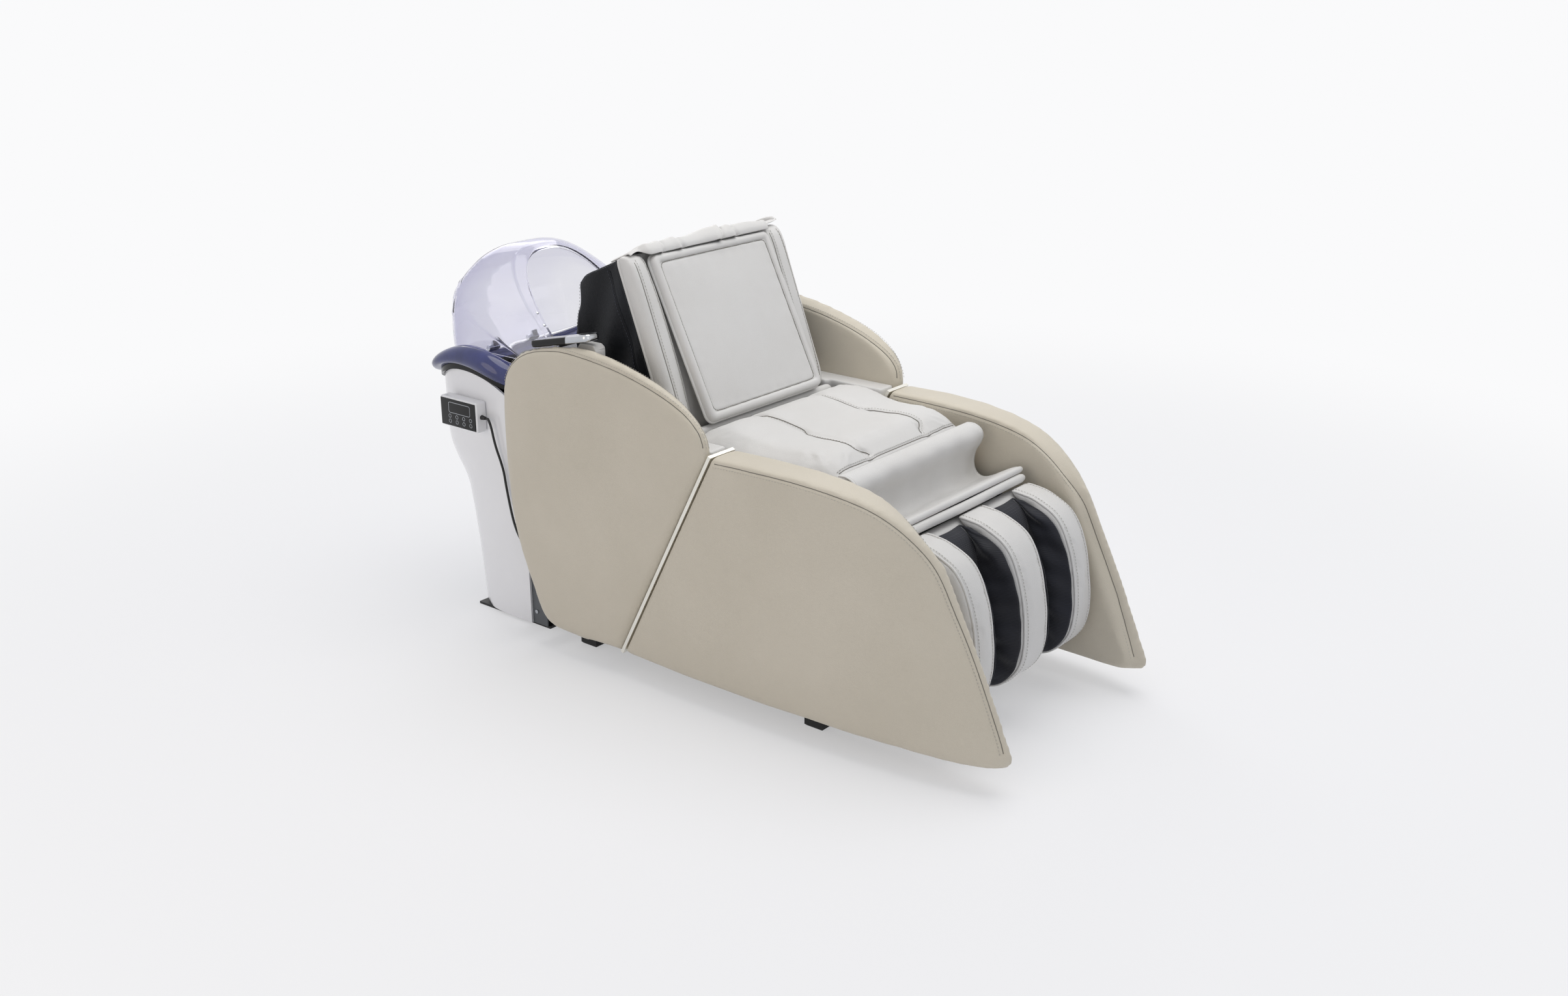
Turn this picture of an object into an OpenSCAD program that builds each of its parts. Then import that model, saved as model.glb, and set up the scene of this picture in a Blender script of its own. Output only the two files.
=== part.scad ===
// Head spa bed: a reclining massage couch with a rinse basin and a clear hood at its head end.
// X runs across the couch, Y from the foot end to the basin, Z up from the floor.

/* [Side panels] */
// Width over both side panels
bed_w = 760; // [700:1:820]
// Height of the panels' lower edge above the floor
panel_z = 59; // [56:1:75]
// Reach of the arm panel behind the seam's top
arm_l = 630; // [615:1:640]
// Height of the arm panel
arm_h = 708; // [690:1:728]
// Thickness of the arm panel, as a share of the bed's half width
arm_t_share = 0.1105; // [0.0895:0.0001:0.1105]
// Reach of the leg panel in front of the seam's top
leg_l = 720; // [710:1:750]
// Height of the leg panel
leg_h = 533; // [520:1:545]
// Width of the leg panel's top band at the seam, as a share of the bed's half width
leg_t_share = 0.2474; // [0.2368:0.0001:0.2526]
// Inward bend of the leg panel at its front edge, as a share of the bed's half width
toe_in_share = 0.2105; // [0.1053:0.0001:0.2211]
// Inward taper of the leg panel's inner face, as a share of the bed's half width
inner_taper_share = 0.0632; // [0.0263:0.0001:0.0684]
// Rounding of the panels' edges
panel_round = 14; // [8:1:16]
// Slant of the seam between arm and leg panel, measured along the floor
seam_run = 278; // [250:1:300]
// Height of the seam's top above the floor
seam_z = 590; // [585:1:592]
// Thickness of the aluminium strip in the seam
strip_t = 8; // [5:1:10]

/* [Seat] */
// Half width of the seat cushion at its back, as a share of the bed's half width
seat_half_share = 0.7395; // [0.7105:0.0001:0.7421]
// Half width of the seat cushion at its front, as a share of the bed's half width
seat_front_half_share = 0.6395; // [0.5921:0.0001:0.6579]
// Reach of the seat cushion in front of the seam's top
seat_front = 262; // [255:1:264]
// Reach of the seat cushion behind the seam's top
seat_back = 158; // [140:1:160]
// Underside of the seat cushion above the floor
seat_z = 485; // [483:1:488]
// Height of the seat cushion over its underside, at its crown
seat_t = 121; // [110:1:122]
// Distance of the sewn channels from the middle
channel_x = 112; // [90:1:130]
// Depth of the sewn channels
channel_d = 9; // [4:1:12]
// Thickness of the calf flap
flap_t = 6; // [4:1:7]
// Half width of the calf flap, as a share of the bed's half width
flap_half_share = 0.6526; // [0.5789:0.0001:0.6632]

/* [Backrest] */
// Distance of the recline pivot behind the seam's top
pivot_y = 200; // [196:1:206]
// Height of the recline pivot above the floor
pivot_z = 470; // [466:1:474]
// Lean of the backrest at rest, from upright
back_lean = 20.7; // [18:0.1:22]
// Half width of the backrest, as a share of the bed's half width
back_half_share = 0.7053; // [0.6895:0.0001:0.7105]
// Top of the backrest cushion above the pivot, along the backrest
back_top = 505; // [495:1:508]
// Bottom of the backrest cushion above the pivot, along the backrest
back_bottom = 93; // [90:1:100]
// Front face of the backrest's side wings in front of the pivot
back_front = 70; // [66:1:72]
// Thickness of the wings
wing_t = 40; // [34:1:40]
// Depth of the recess between the wings
recess_d = 21; // [18:1:24]
// Half width of the recess between the wings, as a share of the bed's half width
recess_half_share = 0.5474; // [0.5421:0.0001:0.5684]
// Half width of the loose back pad, as a share of the bed's half width
pad_half_share = 0.5368; // [0.5000:0.0001:0.5368]
// Length of the loose back pad
pad_l = 395; // [370:1:398]
// Thickness of the loose back pad
pad_t = 28; // [20:1:30]
// Thickness of the backrest board
board_t = 12; // [9:1:12]
// Reach of the gusset behind the seam's top
gusset_y = 498; // [490:1:510]
// Thickness of the gusset's leather
gusset_t = 4; // [3:1:5]

/* [Leg rest] */
// Distance of the lift pivot in front of the seam's top
lift_y = 330; // [326:1:334]
// Height of the lift pivot above the floor
lift_z = 400; // [394:1:404]
// Half width of the leg rest, as a share of the bed's half width
calf_half_share = 0.6316; // [0.5789:0.0001:0.6368]
// Half width of the middle rib, as a share of the bed's half width
rib_half_share = 0.1289; // [0.1053:0.0001:0.1474]
// Width of each calf well, as a share of the bed's half width
well_w_share = 0.3079; // [0.2763:0.0001:0.3158]
// Foremost reach of the leg rest
calf_front = 600; // [590:1:620]
// Rear face of the leg rest
calf_back = 392; // [388:1:396]
// Underside of the leg rest above the floor
calf_z = 84; // [74:1:96]
// Height of the leg rest
calf_h = 379; // [360:1:381]
// Thickness of the wells' fabric lining
lining_t = 5; // [3:1:8]

/* [Basin] */
// Front of the pedestal behind the seam's top
pedestal_y = 655; // [650:1:662]
// Half width of the pedestal, as a share of the bed's half width
pedestal_half_share = 0.7895; // [0.7789:0.0001:0.8053]
// Rear of the pedestal under the basin
pedestal_rear = 1006; // [990:1:1012]
// Wall of the pedestal housing
housing_wall = 6; // [4:1:8]
// Height of the pedestal housing's crest
housing_z = 622; // [610:1:630]
// Height of the black trim band
band_h = 15; // [10:1:20]
// Half width of the basin rim, as a share of the bed's half width
rim_half_share = 0.8553; // [0.8289:0.0001:0.8816]
// Rear of the basin rim
rim_rear = 1020; // [1012:1:1030]
// Crest of the basin rim over the trim band
rim_h = 50; // [40:1:56]
// Depth of the bowl under the rim's crest
bowl_d = 215; // [180:1:230]
// Radius of the drain hole
drain_r = 22; // [18:1:26]

/* [Hood] */
// Half width of the hood, as a share of the bed's half width
hood_half_share = 0.6974; // [0.6632:0.0001:0.7053]
// Distance of the hood's feet behind the seam's top
hood_y = 665; // [658:1:668]
// Reach of the hood behind its feet
hood_l = 366; // [350:1:368]
// Wall of the hood
hood_wall = 4; // [3:1:5]
// Raise of the flange round the hood's opening
flange_t = 4; // [2:1:5]

/* [Controls] */
// Length of the control box
box_l = 132; // [120:1:140]
// Height of the control box
box_h = 76; // [60:1:90]
// Depth of the control box
box_d = 32; // [26:1:36]
// Centre of the control box behind the seam's top
box_y = 841; // [836:1:846]
// Centre of the control box above the floor
box_z = 520; // [515:1:522]
// Diameter of the control cable
cable_d = 6; // [5:0.5:7]
// Length of the handset
handset_l = 190; // [160:1:196]
// Width of the handset
handset_w = 46; // [40:1:54]
// Thickness of the handset
handset_t = 16; // [12:1:18]

/* [Frame] */
// Side of the square steel tubes
tube = 40; // [36:1:40]
// Wall of the square steel tubes
tube_wall = 3; // [2:0.5:4]
// Outer face of the frame's rails, as a share of the bed's half width
rail_x_share = 0.7000; // [0.6895:0.0001:0.7026]
// Height of the rails' lower face above the floor
rail_z = 63; // [62:1:66]
// Height of the seat posts
post_h = 327; // [322:1:330]
// Side of the square feet
foot_w = 50; // [44:1:56]
// Outer face of the feet, as a share of the bed's half width
foot_x_share = 0.7895; // [0.7632:0.0001:0.8053]
// Centre of the front feet in front of the seam's top
foot_front = 230; // [220:1:240]
// Centre of the rear feet behind the seam's top
foot_rear = 456; // [440:1:470]
// Radius of the pivot pins
pin_r = 10; // [8:0.5:11]

/* [Hidden] */

$fn = 48;
eps = 1;                // overrun of every cut
seat_gap = 0.3;         // gap between pieces that seat on each other
run_gap = 0.05;         // radial gap of a running pin
half_w = bed_w / 2;
arm_t = arm_t_share * half_w;
leg_t = leg_t_share * half_w;
toe_in = toe_in_share * half_w;
inner_taper = inner_taper_share * half_w;
seat_half = seat_half_share * half_w;
seat_front_half = seat_front_half_share * half_w;
flap_half = flap_half_share * half_w;
back_half = back_half_share * half_w;
recess_half = recess_half_share * half_w;
pad_half = pad_half_share * half_w;
calf_half = calf_half_share * half_w;
rib_half = rib_half_share * half_w;
well_w = well_w_share * half_w;
pedestal_half = pedestal_half_share * half_w;
rim_half = rim_half_share * half_w;
hood_half = hood_half_share * half_w;
rail_x = rail_x_share * half_w;
foot_x = foot_x_share * half_w;
mid_y = (rim_rear - leg_l) / 2;
facet_steps = 2;

// Places a piece that is drawn from the seam's top in the bed's own frame
module in_bed() {
    translate([0, -mid_y, 0]) children();
}

module on_both_sides() {
    children();
    mirror([1, 0, 0]) children();
}

// Point i of a list, held at its ends
function held(p, i) = p[max(0, min(len(p) - 1, i))];

// Point of the smooth curve through p, at share t of its stretch i
function curve_point(p, i, t) =
    let (a = held(p, i - 1), b = held(p, i), c = held(p, i + 1), d = held(p, i + 2))
    (2 * b + (c - a) * t + (2 * a - 5 * b + 4 * c - d) * t ^ 2 + (3 * b - a - 3 * c + d) * t ^ 3) / 2;

// Smooth open curve through the points p
function curve(p, steps) =
    concat([for (i = [0 : len(p) - 2]) for (k = [0 : steps - 1]) curve_point(p, i, k / steps)],
        [p[len(p) - 1]]);

// Height of a smooth curve of [place, height] pairs at place y, the places rising
function height_at(p, y) =
    let (i = max([0, for (k = [0 : len(p) - 2]) if (p[k][0] <= y) k]),
        t = max(0, min(1, (y - p[i][0]) / (p[i + 1][0] - p[i][0]))))
    curve_point([for (q = p) q[1]], i, t);

function middle(p) = [for (k = [0 : len(p[0]) - 1]) let (c = [for (q = p) q[k]]) (max(c) + min(c)) / 2];

// Closed solid through rings of points, with a fan to a point at each end.
// Each ring runs anticlockwise as seen from the last end.
module skin(first, rings, last) {
    n = len(rings[0]);
    m = len(rings);
    top = (m - 1) * n + 1;
    polyhedron(
        concat([first], [for (r = rings) each r], [last]),
        concat(
            [for (i = [0 : n - 1]) [0, 1 + i, 1 + (i + 1) % n]],
            [for (j = [0 : m - 2]) for (i = [0 : n - 1])
                let (a = 1 + j * n + i, b = 1 + j * n + (i + 1) % n)
                each [[a, a + n, b + n], [a, b + n, b]]],
            [for (i = [0 : n - 1]) [m * n + 1, top + (i + 1) % n, top + i]]));
}

// Closed wall through folded rings: each ring goes out along one face and back along the other.
// The wall ends in a strip at both ends, or joins its first ring where joined is true.
module wall_skin(rings, joined = false) {
    n = len(rings[0]);
    m = len(rings);
    k = n / 2;
    last = (m - 1) * n;
    polyhedron(
        [for (r = rings) each r],
        concat(
            [for (j = [0 : m - (joined ? 1 : 2)]) for (i = [0 : n - 1])
                let (a = j * n + i, b = j * n + (i + 1) % n,
                    c = ((j + 1) % m) * n + i, d = ((j + 1) % m) * n + (i + 1) % n)
                each [[a, c, d], [a, d, b]]],
            joined ? [] : [for (i = [0 : k - 2]) each
                [[i, i + 1, n - 1 - i], [i + 1, n - 2 - i, n - 1 - i]]],
            joined ? [] : [for (i = [0 : k - 2]) each
                [[last + i, last + n - 1 - i, last + i + 1],
                    [last + i + 1, last + n - 1 - i, last + n - 2 - i]]]));
}

// Turns a drawing in the plane (y, z) into a slab between two places on X
module across(x0, x1) {
    translate([x0, 0, 0]) rotate([90, 0, 90]) linear_extrude(x1 - x0) children();
}

// Square tube along X, Y or Z from a corner, open at both ends
module tube_x(at, l) {
    translate(at) difference() {
        cube([l, tube, tube]);
        translate([-eps, tube_wall, tube_wall])
            cube([l + 2 * eps, tube - 2 * tube_wall, tube - 2 * tube_wall]);
    }
}

module tube_y(at, l) {
    translate(at) difference() {
        cube([tube, l, tube]);
        translate([tube_wall, -eps, tube_wall])
            cube([tube - 2 * tube_wall, l + 2 * eps, tube - 2 * tube_wall]);
    }
}

module tube_z(at, l) {
    translate(at) difference() {
        cube([tube, tube, l]);
        translate([tube_wall, tube_wall, -eps])
            cube([tube - 2 * tube_wall, tube - 2 * tube_wall, l + 2 * eps]);
    }
}

// Side panels

// Outline points as shares of the panel's reach and height, anticlockwise as seen from +X
arm_shares = [[0.635, 0], [0.78, 0.006], [0.845, 0.04], [0.89, 0.13], [0.943, 0.242], [0.983, 0.373],
    [1, 0.563], [1, 0.746], [0.99, 0.845], [0.952, 0.902], [0.883, 0.947], [0.794, 0.973],
    [0.686, 0.993], [0.54, 1], [0.39, 0.978], [0.238, 0.94], [0.13, 0.897], [0.057, 0.849],
    [0.02, 0.806]];
leg_shares = [[0.168, 1], [0.308, 0.995], [0.434, 0.978], [0.546, 0.946], [0.63, 0.895],
    [0.707, 0.817], [0.763, 0.73], [0.819, 0.588], [0.896, 0.382], [0.973, 0.144], [1, 0.06],
    [0.992, 0.015], [0.95, 0], [0.8, 0]];

seam_rise = seam_z - panel_z;
seam_lean = atan2(seam_run, seam_rise);
seam_off = (strip_t / 2 + seat_gap) / cos(seam_lean);

function seam_y(z) = seam_run * (seam_z - z) / seam_rise;

arm_outline = concat([[seam_y(panel_z) + seam_off, panel_z]],
    curve([for (s = arm_shares) [s[0] * arm_l, panel_z + s[1] * arm_h]], facet_steps),
    [[seam_off, seam_z]],
    [for (s = [0.25, 0.5, 0.75]) [seam_y(seam_z - s * seam_rise) + seam_off, seam_z - s * seam_rise]]);
leg_outline = concat([[-seam_off, seam_z]],
    curve([for (s = leg_shares) [-s[0] * leg_l, panel_z + s[1] * leg_h]], facet_steps),
    [for (s = [0.55, 0.2, -0.1]) [-s * leg_l, panel_z]],
    [[seam_y(panel_z) - seam_off, panel_z]],
    [for (s = [0.75, 0.5, 0.25]) [seam_y(seam_z - s * seam_rise) - seam_off, seam_z - s * seam_rise]]);

// Fall of the padded outer face towards the seam
seam_fall = 10;
seam_soft = 90;

function seam_dist(y, z) = abs(y - seam_y(z)) * cos(seam_lean);

function seam_drop(y, z) = seam_fall * max(0, 1 - seam_dist(y, z) / seam_soft) ^ 2;

// Outer face of the leg panel: straight at the seam, bent inwards towards the slanted front edge
toe_soft = 110;
toe_reach = 500;
front_lean_share = 0.213;
front_rise_share = 0.666;
set_back = 30;
set_back_reach = 150;

function front_dist(y, z) =
    max(0, y + leg_l * (1 - front_lean_share * (z - panel_z) / (front_rise_share * leg_h)));

// Place of a point of the inner face, set back towards the front edge
function inner_y(y, z) = y + set_back * max(0, 1 - front_dist(y, z) / set_back_reach);

function leg_outer(y, z) =
    let (d = front_dist(y, z))
    half_w - toe_in * (0.3 * max(0, 1 - d / toe_reach) + 0.7 * exp(-d / toe_soft)) - seam_drop(y, z);

function leg_inner(y) = half_w - leg_t + inner_taper * y / leg_l;

function arm_outer(y, z) = half_w - seam_drop(y, z);

// Ring of a padded panel: the outline drawn in to a share of its size, on the inner or the outer face
function pad_ring(outline, s, outer, sink) =
    let (c = middle(outline))
    [for (p = outline) let (y = c[0] + s * (p[0] - c[0]), z = c[1] + s * (p[1] - c[1]))
        [outer == "arm" ? arm_outer(y, z) - sink : outer == "leg" ? leg_outer(y, z) - sink :
            outer == "leg_in" ? leg_inner(y) + sink : half_w - arm_t + sink,
            outer == "leg_in" ? inner_y(y, z) : y, z]];

module arm_panel() {
    color("#C9C4BA") in_bed()
        skin([half_w - arm_t, middle(arm_outline)[0], middle(arm_outline)[1]],
            [pad_ring(arm_outline, 0.93, "arm_in", 0),
                pad_ring(arm_outline, 0.962, "arm_in", 0.25 * panel_round),
                pad_ring(arm_outline, 0.977, "arm_in", panel_round),
                pad_ring(arm_outline, 1, "arm", panel_round),
                pad_ring(arm_outline, 0.985, "arm", 0.35 * panel_round),
                pad_ring(arm_outline, 0.945, "arm", 0),
                pad_ring(arm_outline, 0.8, "arm", 0),
                pad_ring(arm_outline, 0.5, "arm", 0)],
            [half_w, middle(arm_outline)[0], middle(arm_outline)[1]]);
}

module leg_panel() {
    c = middle(leg_outline);
    color("#C9C4BA") in_bed()
        skin([leg_inner(c[0]), c[0], c[1]],
            [pad_ring(leg_outline, 0.96, "leg_in", 0),
                pad_ring(leg_outline, 0.992, "leg_in", 0.25 * panel_round),
                pad_ring(leg_outline, 1, "leg_in", panel_round),
                pad_ring(leg_outline, 1, "leg", panel_round),
                pad_ring(leg_outline, 0.988, "leg", 0.35 * panel_round),
                pad_ring(leg_outline, 0.96, "leg", 0),
                pad_ring(leg_outline, 0.85, "leg", 0),
                pad_ring(leg_outline, 0.65, "leg", 0),
                pad_ring(leg_outline, 0.35, "leg", 0)],
            [leg_outer(c[0], c[1]), c[0], c[1]]);
}

module arm_panel_left() {
    arm_panel();
}

module arm_panel_right() {
    mirror([1, 0, 0]) arm_panel();
}

module leg_panel_left() {
    leg_panel();
}

module leg_panel_right() {
    mirror([1, 0, 0]) leg_panel();
}

// Strip along the seam, from under the panels to the top of the leg panel's band
strip_in = 3;

module seam_strips() {
    color("#D9D6CC") in_bed() on_both_sides()
        translate([half_w - leg_t, 0, seam_z]) rotate([seam_lean, 0, 0])
            translate([0, -strip_t / 2, -seam_rise / cos(seam_lean)])
                cube([leg_t - seam_fall - strip_in, strip_t, seam_rise / cos(seam_lean)]);
}

// Flat leather ledges between the seat and the arm panels
ledge_t = 26;
ledge_back = 600;
ledge_step = 184;
ledge_lap = 16;
ledge_front = seam_off + ledge_lap;
seat_ledge_gap = 5;
back_ledge_gap = 6;

module arm_ledges() {
    color("#D3CFC6") in_bed() on_both_sides()
        translate([0, 0, seam_z - ledge_t]) linear_extrude(ledge_t)
            polygon([[seat_half + seat_ledge_gap, ledge_front],
                [half_w - arm_t - seat_gap, ledge_front],
                [half_w - arm_t - seat_gap, ledge_back], [back_half + back_ledge_gap, ledge_back],
                [back_half + back_ledge_gap, ledge_step], [seat_half + seat_ledge_gap, ledge_step]]);
}

// Frame

rail_reach = 270;
post_reach = 262;
mid_bar = 68;
power_bar = 400;
rail_gap = 15;
rail_front = -rail_reach;
rail_rear = pedestal_y - rail_gap;
post_front = -post_reach;
post_rear = 96;
bar_places = [post_front, -mid_bar, post_rear, power_bar, rail_rear - tube];
seat_rail_t = 30;
ear_t = 8;
ear_r = 24;
ear_gap = 6;
ear_in = 22;
ear_foot = 36;
seat_rail_end = pivot_y - ear_r - ear_gap;
post_top = rail_z + tube + post_h;
ear_x = rail_x - ear_in;

module base_rails() {
    color("#8A8D90") in_bed() on_both_sides()
        tube_y([rail_x - tube, rail_front, rail_z], rail_rear - rail_front);
}

module crossbars() {
    l = 2 * (rail_x - tube);
    color("#8A8D90") in_bed() for (y = bar_places) tube_x([-l / 2, y, rail_z], l);
}

module seat_posts() {
    color("#8A8D90") in_bed() on_both_sides() for (y = [post_front, post_rear])
        tube_z([rail_x - tube, y, rail_z + tube], post_h);
}

module seat_rails() {
    color("#8A8D90") in_bed() on_both_sides()
        translate([rail_x - tube, post_front, post_top])
            cube([tube, seat_rail_end - post_front, seat_rail_t]);
}

// Upright ears with a bore for each pivot pin
module ear(y, z, foot_y, foot_z, foot_l, foot_h) {
    across(ear_x, ear_x + ear_t) difference() {
        union() {
            translate([y, z]) circle(ear_r);
            translate([foot_y, foot_z]) square([foot_l, foot_h]);
        }
        translate([y, z]) circle(pin_r + run_gap);
    }
}

lift_arm_h = 30;

module pivot_ears() {
    color("#6F7276") in_bed() on_both_sides() {
        ear(pivot_y, pivot_z, seat_rail_end, post_top, ear_foot, seat_rail_t + ear_r / 2);
        ear(-lift_y, lift_z, -lift_y, lift_z - lift_arm_h / 2, lift_y + post_front, lift_arm_h);
    }
}

foot_h = 52;
foot_edge = 4;
neck_w = rail_x - (foot_x - foot_w);

module feet() {
    color("#1B1B1D") in_bed() on_both_sides() for (y = [-foot_front, foot_rear])
        translate([foot_x - foot_w, y - foot_w / 2, 0]) {
            translate([foot_edge, foot_edge, 0]) cube([foot_w - 2 * foot_edge, foot_w - 2 * foot_edge, eps]);
            hull() {
                translate([foot_edge, foot_edge, 0])
                    cube([foot_w - 2 * foot_edge, foot_w - 2 * foot_edge, eps]);
                translate([0, 0, foot_edge]) cube([foot_w, foot_w, foot_h - foot_edge]);
            }
            translate([0, 0, foot_h]) cube([neck_w, foot_w, rail_z - foot_h]);
        }
}

// Flat steel brackets that carry the side panels on the rails
bracket_w = 40;
bracket_h = 30;
bracket_rise = 5;
bracket_gap = 60;
bracket_front = 10;
ledge_bracket_gap = 40;

module panel_brackets() {
    color("#8A8D90") in_bed() on_both_sides() {
        for (y = [seam_run + bracket_gap, ledge_back - 2 * bracket_w])
            translate([rail_x, y, rail_z + bracket_rise])
                cube([half_w - arm_t - seat_gap - rail_x, bracket_w, bracket_h]);
        for (y = [-2 * bracket_w, rail_front + bracket_front])
            translate([rail_x, y, rail_z + bracket_rise])
                cube([leg_inner(y) - seat_gap - rail_x, bracket_w, bracket_h]);
        for (y = [ledge_step + ledge_bracket_gap, ledge_back - 2 * bracket_w])
            translate([half_w - arm_t - seat_gap - bracket_w, y, seam_z - ledge_t - bracket_h])
                cube([bracket_w, bracket_w, bracket_h]);
    }
}

board_inset = 5;

module seat_board() {
    color("#B98F5E") in_bed()
        translate([-rail_x, post_front + board_inset, post_top + seat_rail_t])
            cube([2 * rail_x, seat_rail_end - post_front - 2 * board_inset, seat_z - post_top - seat_rail_t]);
}

// Seat cushion

// Crown of the seat along its length: [share of the length from the front, share of the height]
seat_shares = [[0, 0.5], [0.025, 0.66], [0.06, 0.74], [0.13, 0.84], [0.23, 0.9], [0.38, 0.87], [0.5, 0.885],
    [0.62, 0.95], [0.74, 1], [0.84, 0.985], [0.9, 0.955], [0.94, 0.86], [0.975, 0.7], [1, 0.42]];
// Half width along its length: [share of the length from the front, share between front and back width]
seat_plan_shares = [[0, -0.2], [0.03, 0], [0.15, 0.3], [0.3, 0.72], [0.45, 0.92], [0.6, 1], [0.95, 1],
    [1, 0.85]];
seat_stations = [0, 0.012, 0.035, 0.07, 0.13, 0.2, 0.28, 0.36, 0.44, 0.52, 0.6, 0.68, 0.76, 0.84, 0.9, 0.94,
    0.975, 1];
channel_w = 9;
edge_drop = 22;
side_draw = 6;

function seat_half_at(s) =
    seat_front_half + (seat_half - seat_front_half) * height_at(seat_plan_shares, s);

// Drop of the top at a distance x from the middle: a channel, and a fall towards the side
function seat_fall_at(x, w) =
    channel_d * max(0, 1 - abs(abs(x) - channel_x) / channel_w)
    + edge_drop * max(0, (abs(x) / w - 0.8) / 0.2) ^ 2.2
    + 0.25 * edge_drop * max(0, (abs(x) - channel_x) / (w - channel_x)) ^ 2;

function seat_section(s) =
    let (w = seat_half_at(s), h = seat_t * height_at(seat_shares, s), y = -seat_front
        + s * (seat_front + seat_back),
        xs = [1, 0.975, 0.93, 0.85, 0.72, 0.55, (channel_x + channel_w) / w, channel_x / w,
            (channel_x - channel_w) / w, 0.25, 0.12, 0, -0.12, -0.25, -(channel_x - channel_w) / w,
            -channel_x / w, -(channel_x + channel_w) / w, -0.55, -0.72, -0.85, -0.93, -0.975, -1])
    concat([[-(w - side_draw), y, seat_z], [w - side_draw, y, seat_z]],
        [for (k = xs) [k * w, y, seat_z + max(0.3 * h, h - seat_fall_at(k * w, w))]]);

module seat_cushion() {
    y0 = -seat_front;
    color("#DAD8D3") in_bed()
        skin([0, seat_back, seat_z + seat_t * 0.2],
            [for (k = [len(seat_stations) - 1 : -1 : 0]) seat_section(seat_stations[k])],
            [0, y0, seat_z + seat_t * 0.25]);
}

// Leather flap from the seat's front seam to the leg rest, with its slack fold between them.
// Points as shares of the flap's reach in front of the seat's front seam and of the seat's height.
flap_y = 250;
flap_reach = 155;
flap_shares = [[0, 0.69], [0.12, 0.7], [0.23, 0.64], [0.28, 0.53], [0.26, 0.38], [0.18, 0.17],
    [0.165, -0.06], [0.22, -0.24], [0.34, -0.31], [0.5, -0.24], [0.7, -0.09], [0.86, 0.02], [0.96, 0.03]];
welt_r = 8;

function flap_line() = curve([for (s = flap_shares)
    [-flap_y - s[0] * flap_reach, seat_z + s[1] * seat_t]], 3);

// Thick line in a plane: the points p moved half a thickness to each side of the line
function side_of(p, i, off) =
    let (d = held(p, i + 1) - held(p, i - 1), l = norm(d)) p[i] + off * [-d[1], d[0]] / l;

function ribbon(p, t) = concat([for (i = [0 : len(p) - 1]) side_of(p, i, t / 2)],
    [for (i = [len(p) - 1 : -1 : 0]) side_of(p, i, -t / 2)]);

module calf_flap() {
    line = flap_line();
    tip = line[len(line) - 1];
    color("#D6D4CF") in_bed() across(-flap_half, flap_half) {
        polygon(ribbon(line, flap_t));
        translate(tip) circle(welt_r);
    }
}

// Backrest

module on_backrest() {
    in_bed() translate([0, pivot_y, pivot_z]) rotate([-back_lean, 0, 0]) children();
}

frame_tube = 30;
upright_share = 0.5263;
upright_x = upright_share * half_w;
torque_r = 16;
board_front = -back_front + wing_t;
frame_front = board_front + board_t;
lever_x = 70;
lever_t = 6;
lever_r = 14;
lever_gap = 12;
recline_lever = 112;
recline_mid = 20;
drive_pin_r = 6;
pin_rest = 2;
low_bar = 150;
stub_l = ear_x + ear_t + pin_rest - (upright_x + frame_tube);

// Fork on a torque tube: two plates and the pin between them, at a distance below the pivot
module lever_fork(l, turn) {
    rotate([turn, 0, 0]) {
        for (x = [-lever_gap - lever_t, lever_gap])
            across(x, x + lever_t) {
                translate([0, -l]) circle(lever_r);
                translate([-lever_r, -l]) square([2 * lever_r, l]);
            }
        translate([-lever_gap - lever_t, 0, -l]) rotate([0, 90, 0])
            cylinder(r = drive_pin_r, h = 2 * (lever_gap + lever_t));
    }
}

module backrest_frame() {
    l = back_top - frame_tube;
    bore = frame_tube - 2 * tube_wall;
    color("#6F7276") on_backrest() {
        on_both_sides() {
            difference() {
                translate([upright_x, frame_front, 0]) cube([frame_tube, frame_tube, l]);
                translate([upright_x + tube_wall, frame_front + tube_wall, 2 * torque_r])
                    cube([bore, bore, l]);
            }
            translate([upright_x, 0, 0]) rotate([0, 90, 0])
                cylinder(r = pin_r, h = frame_tube + stub_l);
        }
        for (z = [low_bar, back_top - 2 * frame_tube])
            translate([-upright_x, frame_front, z]) cube([2 * upright_x, frame_tube, frame_tube]);
        rotate([0, 90, 0]) cylinder(r = torque_r, h = 2 * (upright_x + frame_tube), center = true);
        translate([lever_x, 0, 0]) lever_fork(recline_lever, recline_mid + back_lean);
    }
}

board_side = 14;
board_low = 10;
board_high = 20;

module backrest_board() {
    color("#B98F5E") on_backrest()
        translate([-back_half + board_side, board_front, back_bottom + board_low])
            cube([2 * (back_half - board_side), board_t, back_top - back_bottom - board_low - board_high]);
}

// Backrest cushion: a recess between two crowned side wings, with a sewn channel inside each wing
back_stations = [0, 0.02, 0.06, 0.12, 0.3, 0.5, 0.7, 0.88, 0.94, 0.98, 1];
back_round_shares = [[0, 0.45], [0.02, 0.75], [0.06, 0.93], [0.12, 1], [0.88, 1], [0.94, 0.94],
    [0.98, 0.75], [1, 0.45]];

back_draw = 8;
wing_edge_share = 0.06;
recess_edge = 12;
recess_soft = 2;

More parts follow.
